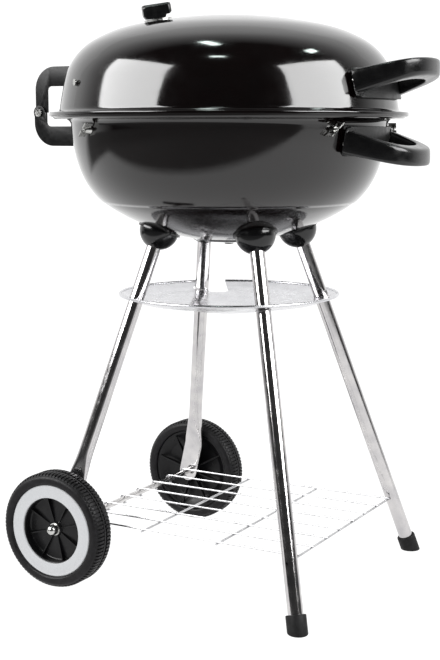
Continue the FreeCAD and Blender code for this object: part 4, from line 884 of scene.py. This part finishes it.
@dataclass
class WheelLeg:
    """A tube leg whose lower end is pressed flat round the axle, with a smooth change of section."""

    name: str
    tube: float = 9.5 * MM
    bore: float = 8.5 * MM
    flat_half_width: float = 14.2 * MM
    flat_half_wall: float = 2.0 * MM
    flat_length: float = 44 * MM
    turn_length: float = 60 * MM
    segments: int = 48

    def ring(self, share: float, radius: float) -> list[tuple[float, float]]:
        """Section between the flat end and the round tube.

        Args:
            share: 0 at the flat end and 1 on the tube.
            radius: The tube's radius.

        Returns:
            The section's points, across X and Y.
        """
        ease = share * share * (3 - 2 * share)
        width = self.flat_half_width + (radius - self.flat_half_width) * ease
        wall = self.flat_half_wall + (radius - self.flat_half_wall) * ease
        power = 0.28 + 0.72 * ease
        points = []
        for step in range(self.segments):
            angle = 2 * math.pi * step / self.segments
            across, deep = math.cos(angle), math.sin(angle)
            points.append((math.copysign(abs(across) ** power, across) * width,
                           math.copysign(abs(deep) ** power, deep) * wall))
        return points

    def build(self) -> bpy.types.Object:
        """Makes the leg.

        Returns:
            The leg's piece.
        """
        node = f"leg_{self.name}"
        low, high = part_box(node)
        axle = middle("axle")
        side = -1 if low.y < 0 else 1
        flat_y = (low.y if side < 0 else high.y) - side * self.flat_half_wall
        end = Vector((axle.x, flat_y, axle.z))
        top = self.top_point(node, end)
        rise = Vector((top.x - end.x, 0, top.z - end.z)).normalized()
        foot = end + rise * self.flat_length
        axis = (top - foot).normalized()
        lean = Vector((0, 0, 1)).rotation_difference(rise)
        tilt = Vector((0, 0, 1)).rotation_difference(axis)
        mesh = bmesh.new()
        rings = []
        for step in range(9):
            angle = math.radians(90 * step / 8)
            drop = self.flat_half_width * math.cos(angle)
            width = max(math.sin(angle), 0.02)
            centre = end - rise * drop
            ring = [mesh.verts.new(centre + lean @ Vector((x * width, y, 0))) for x, y in self.ring(0, self.tube)]
            rings.append(ring)
        steps = 10
        for step in range(steps + 1):
            share = step / steps
            centre = foot + axis * self.turn_length * share
            turn = lean.slerp(tilt, share)
            ring = [mesh.verts.new(centre + turn @ Vector((x, y, 0))) for x, y in self.ring(share, self.tube)]
            rings.append(ring)
        rings.append([mesh.verts.new(top + tilt @ Vector((x, y, 0))) for x, y in self.ring(1, self.tube)])
        rings.append([mesh.verts.new(top + tilt @ Vector((x, y, 0))) for x, y in self.ring(1, self.bore)])
        deep = top - axis * 25 * MM
        rings.append([mesh.verts.new(deep + tilt @ Vector((x, y, 0))) for x, y in self.ring(1, self.bore)])
        for ring, following in zip(rings, rings[1:]):
            for step in range(self.segments):
                after = (step + 1) % self.segments
                mesh.faces.new([ring[step], ring[after], following[after], following[step]])
        mesh.faces.new(list(reversed(rings[0])))
        mesh.faces.new(rings[-1])
        return piece(f"tube_{self.name}", mesh, "stand", PALETTE.get(tube_finish(self.name, foot, axis)),
                     [node], 50.0)

    def top_point(self, node: str, foot: Vector) -> Vector:
        """Middle of the leg's upper end, from the highest points of its CAD mesh.

        Args:
            node: The CAD node.
            foot: The leg's lower point.

        Returns:
            The middle of its upper end.
        """
        points = [vertex.co for vertex in frame["nodes"][node].data.vertices]
        far = max((point - foot).length for point in points)
        upper = [point for point in points if (point - foot).length > far - 6 * MM]
        low = Vector((min(p.x for p in upper), min(p.y for p in upper), min(p.z for p in upper)))
        high = Vector((max(p.x for p in upper), max(p.y for p in upper), max(p.z for p in upper)))
        return (low + high) / 2


def tube_finish(name: str, foot: Vector, axis: Vector) -> Plating:
    """Chrome with drawing marks along one leg.

    Args:
        name: The leg's name.
        foot: A point on its line.
        axis: Its direction.

    Returns:
        The finish.
    """
    return Plating(f"tube_chrome_{name}", dark=(0.46, 0.45, 0.46), light=(0.60, 0.585, 0.58), gloss=(0.09, 0.17),
                   marks=Direction.ALONG, centre=tuple(foot), axis=tuple(axis), pitch=0.9 * MM,
                   relief=0.02 * MM)


@dataclass
class Trolley:
    """Everything under the bowl: legs, sockets, caps, dish, rack, axle and fasteners."""

    tubes: tuple[str, ...] = ("front_right", "rear_right")
    wheel_legs: tuple[str, ...] = ("front_left", "rear_left")

    def dress_tubes(self) -> None:
        """Gives the plain tube legs chrome with marks along each tube."""
        for name in self.tubes:
            low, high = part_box(f"leg_{name}")
            side = -1 if low.y < 0 else 1
            foot = Vector((high.x, low.y if side < 0 else high.y, low.z))
            top = Vector((low.x, high.y if side < 0 else low.y, high.z))
            dress(f"leg_{name}", PALETTE.get(tube_finish(name, foot, (top - foot).normalized())))

    def dress_fittings(self) -> None:
        """Gives the fittings under the bowl their finishes."""
        for name in self.tubes + self.wheel_legs:
            dress(f"leg_socket_{name}", PALETTE.get(SOCKET_BLACK))
        for name in self.tubes:
            dress(f"foot_cap_{name}", PALETTE.get(FOOT_RUBBER), bevel=1.2 * MM)
        dish = middle("ash_catcher")
        pressed = Plating("pressed_aluminium", dark=(0.60, 0.60, 0.62), light=(0.65, 0.65, 0.67),
                          gloss=(0.18, 0.32), marks=Direction.RINGS, centre=(dish.x, 0.0, dish.z), pitch=1.1 * MM)
        dress("ash_catcher", PALETTE.get(pressed))
        dress("bowl_vent_damper", PALETTE.get(pressed))
        dress("wire_rack", PALETTE.get(WIRE_PLATE))
        turned = Plating("turned_steel", gloss=(0.10, 0.22), marks=Direction.ALONG, axis=(0.0, 1.0, 0.0))
        dress("axle", PALETTE.get(turned))
        for node in ("leg_inserts", "leg_bolts", "axle_spacers", "cap_nut_front", "cap_nut_rear"):
            dress(node, PALETTE.get(ZINC))

    def build(self) -> None:
        """Makes and dresses the trolley."""
        for name in self.wheel_legs:
            WheelLeg(name).build()
        self.dress_tubes()
        self.dress_fittings()


# ---------------------------------------------------------------- kettle fittings

@dataclass
class LoopHandle:
    """One moulded loop handle: two arms that run into a grip bar, with softly rounded edges."""

    label: str
    body: str
    rise: int
    depth: float = 66 * MM
    root_half: float = 73 * MM
    corner_half: float = 59 * MM
    corner_depth: float = 51 * MM
    tip_half: float = 25 * MM
    arm: float = 17 * MM
    bar: float = 19 * MM
    rim_gap: float = 23 * MM
    height: float = 28 * MM
    near_rise: float = 21 * MM
    far_rise: float = 14 * MM
    seat: float = 5.7 * MM
    wall_lean: float = 0.19
    roundness: float = 0.42
    around: int = 40

    def __post_init__(self) -> None:
        """Reads the handle's place from the frame."""
        self.rim_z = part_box("bowl_shell")[1].z
        self.kettle_x = middle("bowl_shell").x
        self.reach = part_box(f"{self.label}_handle")[1].x - self.depth - self.kettle_x

    def faces(self, out: float) -> tuple[float, float]:
        """Heights of the near and far faces above or below the rim.

        Args:
            out: The distance beyond the kettle's wall.

        Returns:
            The two distances from the rim.
        """
        near = self.rim_gap + self.near_rise * out / self.depth
        far = self.rim_gap + self.height + self.far_rise * out / self.depth
        return near, far

    def line(self) -> list[Vector]:
        """Middle line of the loop in plan, with its corners rounded.

        Returns:
            Points of distance beyond the wall and sideways place.
        """
        root = self.root_half - self.arm / 2
        half = [Vector((-14 * MM, root)), Vector((-4 * MM, root)),
                Vector((self.corner_depth - self.arm * 0.45, self.corner_half - self.arm * 0.5)),
                Vector((self.depth - self.bar / 2, self.tip_half - self.bar * 0.15))]
        points = half + [Vector((spot.x, -spot.y)) for spot in reversed(half)]
        for _ in range(4):
            cut = [points[0]]
            for first, second in zip(points, points[1:]):
                cut += [first.lerp(second, 0.25), first.lerp(second, 0.75)]
            points = cut + [points[-1]]
        return points

    def wall_x(self, y: float, z: float) -> float:
        """X of the shield's face at a place."""
        middle_drop = self.rim_gap + self.height / 2
        radius = self.reach + self.seat - self.wall_lean * (abs(z - self.rim_z) - middle_drop)
        return self.kettle_x + math.sqrt(radius ** 2 - y ** 2)

    def ring(self, spot: Vector, across: Vector) -> list[Vector]:
        """One rounded section.

        Args:
            spot: Its middle in plan.
            across: The direction across the loop in plan.

        Returns:
            Its points in the row frame.
        """
        share = min(1.0, max(0.0, spot.x / self.corner_depth))
        wide = (self.arm + (self.bar - self.arm) * share) / 2
        points = []
        for step in range(self.around):
            angle = 2 * math.pi * step / self.around
            side, tall = math.cos(angle), math.sin(angle)
            place = spot + across * math.copysign(abs(side) ** self.roundness, side) * wide
            near, far = self.faces(place.x)
            level = (near + far) / 2 + math.copysign(abs(tall) ** self.roundness, tall) * (far - near) / 2
            z = self.rim_z + self.rise * level
            x = max(self.kettle_x + self.reach + place.x, self.wall_x(place.y, z))
            points.append(Vector((x, place.y, z)))
        return points

    def build(self) -> bpy.types.Object:
        """Makes the handle.

        Returns:
            The handle's piece.
        """
        spots = self.line()
        mesh = bmesh.new()
        rows = []
        for index, spot in enumerate(spots):
            before, after = spots[max(index - 1, 0)], spots[min(index + 1, len(spots) - 1)]
            run = (after - before).normalized()
            rows.append([mesh.verts.new(point) for point in self.ring(spot, Vector((run.y, -run.x)))])
        for row, following in zip(rows, rows[1:]):
            for step in range(self.around):
                after = (step + 1) % self.around
                mesh.faces.new([row[step], row[after], following[after], following[step]])
        mesh.faces.new(list(reversed(rows[0])))
        mesh.faces.new(rows[-1])
        bmesh.ops.remove_doubles(mesh, verts=mesh.verts, dist=0.02 * MM)
        return piece(f"{self.label}_loop", mesh, self.body, PALETTE.get(HANDLE_PLASTIC),
                     [f"{self.label}_handle"], 60.0)


@dataclass
class KettleFittings:
    """What is fixed to the lid and the bowl: handles, shields, hinge, vents, screws and grates."""

    knob_width: float = 15 * MM
    knob_chamfer: float = 3 * MM
    shield_edge: float = 1.0 * MM
    plate_edge: float = 0.5 * MM

    def knob(self) -> bpy.types.Object:
        """Makes the vent's knob: a chunky chamfered bar on a wide foot.

        Returns:
            The knob's piece.
        """
        corners = [vertex.co.copy() for vertex in frame["nodes"]["lid_vent_knob"].data.vertices]
        joint = next(j for j in frame["record"]["behaviour"]["joints"] if j["name"] == "lid_vent_turn")
        pivot, up = Vector(joint["pos_m"]), Vector(joint["axis"]).normalized()
        heights = [(corner - pivot).dot(up) for corner in corners]
        low, high = min(heights), max(heights)
        tall = [corner for corner, height in zip(corners, heights) if height > high - 1 * MM]
        long_way = max(((a - b) for a in tall for b in tall), key=lambda gap: gap.length)
        along = (long_way - up * long_way.dot(up)).normalized()
        across = up.cross(along)
        half = max(abs((corner - pivot).dot(along)) for corner in corners) - 0.5 * MM
        wide = self.knob_width / 2
        cut = self.knob_chamfer
        mesh = bmesh.new()
        rows = []
        for reach, shrink, floor in ((-half, 0.72, 0.26), (-half + cut, 1.0, 0.03), (-0.30 * half, 1.0, 0.0),
                                     (0.50 * half, 1.0, 0.0), (0.60 * half, 1.0, 0.22),
                                     (half - cut, 1.0, 0.22), (half, 0.72, 0.36)):
            base = low + (high - low) * floor
            top = high - (1 - shrink) * cut
            width = wide * shrink
            section = [(-width, base), (width, base), (width, top - cut), (width - cut, top),
                       (-width + cut, top), (-width, top - cut)]
            rows.append([mesh.verts.new(pivot + along * reach + across * y + up * z) for y, z in section])
        for row, following in zip(rows, rows[1:]):
            for index in range(len(row)):
                after = (index + 1) % len(row)
                mesh.faces.new([row[index], row[after], following[after], following[index]])
        mesh.faces.new(list(reversed(rows[0])))
        mesh.faces.new(rows[-1])
        knob = piece("vent_knob_bar", mesh, "lid_vent", PALETTE.get(HANDLE_PLASTIC),
                     ["lid_vent_knob"], 25.0)
        soften = knob.modifiers.new("soften", "BEVEL")
        soften.width = 0.7 * MM
        soften.segments = 3
        soften.limit_method = "ANGLE"
        soften.angle_limit = math.radians(25)
        return knob

    def build(self) -> None:
        """Makes and dresses the fittings."""
        LoopHandle("lid", "lid", 1).build()
        LoopHandle("bowl", "stand", -1).build()
        for part in ("lid", "bowl"):
            dress(f"{part}_handle_shield", PALETTE.get(SHIELD_PLASTIC), bevel=self.shield_edge)
            dress(f"{part}_handle_screws", PALETTE.get(ZINC))
        for half in ("upper", "lower"):
            dress(f"hinge_{half}_arm", PALETTE.get(HINGE_PAINT), bevel=self.plate_edge)
            dress(f"hinge_{half}_screws", PALETTE.get(ZINC))
        for node in ("hinge_pin", "hinge_nut", "lid_vent_rivet", "bowl_vent_rivet", "lid_hook", "lid_hook_screw",
                     "grate_brackets", "bracket_bolts", "wing_nuts"):
            dress(node, PALETTE.get(ZINC))
        dress("lid_vent_disc", PALETTE.get(ZINC))
        self.knob()
        dress("cooking_grate", PALETTE.get(GRATE_PLATE))
        dress("charcoal_grate", PALETTE.get(GRATE_PLATE))


# ---------------------------------------------------------------- studio

@dataclass
class Studio:
    """Pale sweep, soft lights and the camera."""

    distance: float = 1.731
    swing: float = 28.73
    eye_height: float = 0.5826
    pitch: float = 8.58
    pan: float = 0.39
    lens: float = 72.2
    sweep_half: float = 6.0
    sweep_back: float = 3.2
    sweep_round: float = 1.2
    sweep_top: float = 5.0
    near_edge: tuple[float, float] = (-0.95, -0.75)
    left_edge: tuple[float, float] = (-2.1, -1.8)
    paper_fill: float = 0.45
    room_fill: float = 0.85
    room_dark: float = 0.035
    box_glow: float = 11.0

    def camera(self) -> None:
        """Sets the camera."""
        data = bpy.data.cameras.new("view")
        data.lens = self.lens
        data.sensor_width = 36.0
        data.clip_end = 60.0
        camera = bpy.data.objects.new("view", data)
        bpy.context.scene.collection.objects.link(camera)
        turn = math.radians(self.swing)
        kettle = middle("bowl_shell").x
        camera.location = (kettle + self.distance * math.sin(turn), -self.distance * math.cos(turn), self.eye_height)
        camera.rotation_euler = (math.radians(90 - self.pitch), 0.0, turn + math.radians(self.pan))
        bpy.context.scene.camera = camera

    def sweep(self) -> None:
        """Makes the pale floor that curves up behind the object."""
        turn = math.radians(self.swing)
        away = Vector((-math.sin(turn), math.cos(turn), 0))
        across = Vector((math.cos(turn), math.sin(turn), 0))
        line = [(-self.sweep_half, 0.0)]
        line += [(self.sweep_back + self.sweep_round * math.sin(math.radians(a)),
                  self.sweep_round * (1 - math.cos(math.radians(a)))) for a in range(0, 91, 6)]
        line += [(self.sweep_back + self.sweep_round, self.sweep_top)]
        mesh = bmesh.new()
        rows = []
        for reach, height in line:
            spot = away * reach + Vector((0, 0, height))
            rows.append([mesh.verts.new(spot + across * side * self.sweep_half) for side in (-1, 1)])
        for low, high in zip(rows, rows[1:]):
            face = mesh.faces.new([low[0], low[1], high[1], high[0]])
            face.smooth = True
        data = bpy.data.meshes.new("pale_sweep")
        mesh.to_mesh(data)
        mesh.free()
        floor = bpy.data.objects.new("pale_sweep", data)
        bpy.context.scene.collection.objects.link(floor)
        data.materials.append(self.paper())

    def paper(self) -> bpy.types.Material:
        """Makes the sweep's paper, which glows by itself: white behind to the camera, an even glow that lights the
        grill, and a painted dark near edge that only reflections see.

        Returns:
            The material.
        """
        shader = Shader("pale_paper")
        tree = shader.tree
        shader.tint_between(shader.noise(0.4), (0.16, 0.16, 0.16), (0.19, 0.19, 0.19))
        shader.rough(shader.noise(0.2), 0.85, 0.95)
        shader.surface.inputs["Emission Color"].default_value = (1, 1, 1, 1)
        parts = tree.nodes.new("ShaderNodeSeparateXYZ")
        tree.links.new(shader.place, parts.inputs[0])
        # Painted reflection: glossy rays see the paper's glow dark where Y is low, and where X is low unless Y is
        # high, and bright elsewhere.
        near = shader.ranged(parts.outputs["Y"], 0.0, 1.0, *self.near_edge)
        far = shader.ranged(parts.outputs["Y"], 0.0, 1.0, 0.1, 0.6)
        left = shader.ranged(parts.outputs["X"], 0.0, 1.0, *self.left_edge)
        either = tree.nodes.new("ShaderNodeMath")
        either.operation = "MAXIMUM"
        tree.links.new(far, either.inputs[0])
        tree.links.new(left, either.inputs[1])
        both = tree.nodes.new("ShaderNodeMath")
        both.operation = "MULTIPLY"
        tree.links.new(near, both.inputs[0])
        tree.links.new(either.outputs[0], both.inputs[1])
        # The paper glows: full white for camera rays, the painted mask above for glossy rays, and an even paper_fill
        # glow for other rays.
        path = tree.nodes.new("ShaderNodeLightPath")
        seen = tree.nodes.new("ShaderNodeMix")
        seen.inputs["A"].default_value = self.paper_fill
        tree.links.new(path.outputs["Is Glossy Ray"], seen.inputs["Factor"])
        tree.links.new(both.outputs[0], seen.inputs["B"])
        shown = tree.nodes.new("ShaderNodeMix")
        shown.inputs["B"].default_value = 1.0
        tree.links.new(path.outputs["Is Camera Ray"], shown.inputs["Factor"])
        tree.links.new(seen.outputs["Result"], shown.inputs["A"])
        tree.links.new(shown.outputs["Result"], shader.surface.inputs["Emission Strength"])
        return shader.material

    def area(self, name: str, spot: Sequence[float], aim: Sequence[float], size: tuple[float, float],
             glow: float, tint: Sequence[float] = (1.0, 1.0, 1.0)) -> None:
        """Adds one soft rectangular light that only reflections see.

        Args:
            name: The light's name.
            spot: Where it stands.
            aim: The point that it faces.
            size: Its width and height.
            glow: Its brightness.
            tint: Its colour.
        """
        data = bpy.data.lights.new(name, "AREA")
        data.shape = "RECTANGLE"
        data.size, data.size_y = size
        data.energy = glow * math.pi * size[0] * size[1]
        data.color = tint
        light = bpy.data.objects.new(name, data)
        bpy.context.scene.collection.objects.link(light)
        light.location = spot
        light.rotation_euler = (Vector(aim) - Vector(spot)).to_track_quat("-Z", "Y").to_euler()
        light.visible_diffuse = False

    def lights(self) -> None:
        """Sets the soft lights and the fill of the room."""
        aim = middle("lid_shell")
        mint = (0.88, 1.0, 0.96)
        self.area("left_box", (-1.55, -1.75, 1.75), aim, (2.2, 1.5), self.box_glow)
        self.area("right_box", (2.37, 0.08, 1.75), aim, (2.1, 1.5), self.box_glow)
        self.area("high_tube", (-0.2, -0.3, 3.1), aim, (0.5, 0.2), 2 * self.box_glow, mint)
        self.area("low_tube", (0.45, -1.35, 2.75), aim, (0.35, 0.12), 2 * self.box_glow, mint)
        self.area("side_tube", (1.3, 0.65, 2.6), aim, (0.3, 0.2), 2 * self.box_glow, mint)
        world = bpy.data.worlds.new("room")
        world.use_nodes = True
        tree = world.node_tree
        ground = tree.nodes["Background"]
        ground.inputs["Color"].default_value = (1, 1, 1, 1)
        turn = math.radians(self.swing)
        place = tree.nodes.new("ShaderNodeTexCoord")
        facing = tree.nodes.new("ShaderNodeVectorMath")
        facing.operation = "DOT_PRODUCT"
        facing.inputs[1].default_value = (-math.sin(turn), math.cos(turn), 0.0)
        tree.links.new(place.outputs["Generated"], facing.inputs[0])
        behind = tree.nodes.new("ShaderNodeMapRange")
        behind.inputs["From Min"].default_value = 0.0
        behind.inputs["From Max"].default_value = 0.5
        behind.inputs["To Min"].default_value = self.room_dark
        behind.inputs["To Max"].default_value = 1.0
        tree.links.new(facing.outputs["Value"], behind.inputs["Value"])
        path = tree.nodes.new("ShaderNodeLightPath")
        seen = tree.nodes.new("ShaderNodeMix")
        seen.inputs["A"].default_value = self.room_fill
        tree.links.new(path.outputs["Is Glossy Ray"], seen.inputs["Factor"])
        tree.links.new(behind.outputs["Result"], seen.inputs["B"])
        shown = tree.nodes.new("ShaderNodeMix")
        shown.inputs["B"].default_value = 1.0
        tree.links.new(path.outputs["Is Camera Ray"], shown.inputs["Factor"])
        tree.links.new(seen.outputs["Result"], shown.inputs["A"])
        tree.links.new(shown.outputs["Result"], ground.inputs["Strength"])
        bpy.context.scene.world = world
        bpy.context.scene.view_settings.view_transform = "Standard"

    def build(self) -> None:
        """Makes the studio."""
        self.camera()
        self.sweep()
        self.lights()


# ---------------------------------------------------------------- everything


def main() -> None:
    """Builds the grill's looks in order."""
    logging.basicConfig(level=logging.INFO, format="%(name)s: %(message)s")
    Studio().build()
    LidShell().build()
    BowlShell().build()
    KettleFittings().build()
    Trolley().build()
    for side in Side:
        Wheel(side).build()


if __name__ == "__main__":
    main()
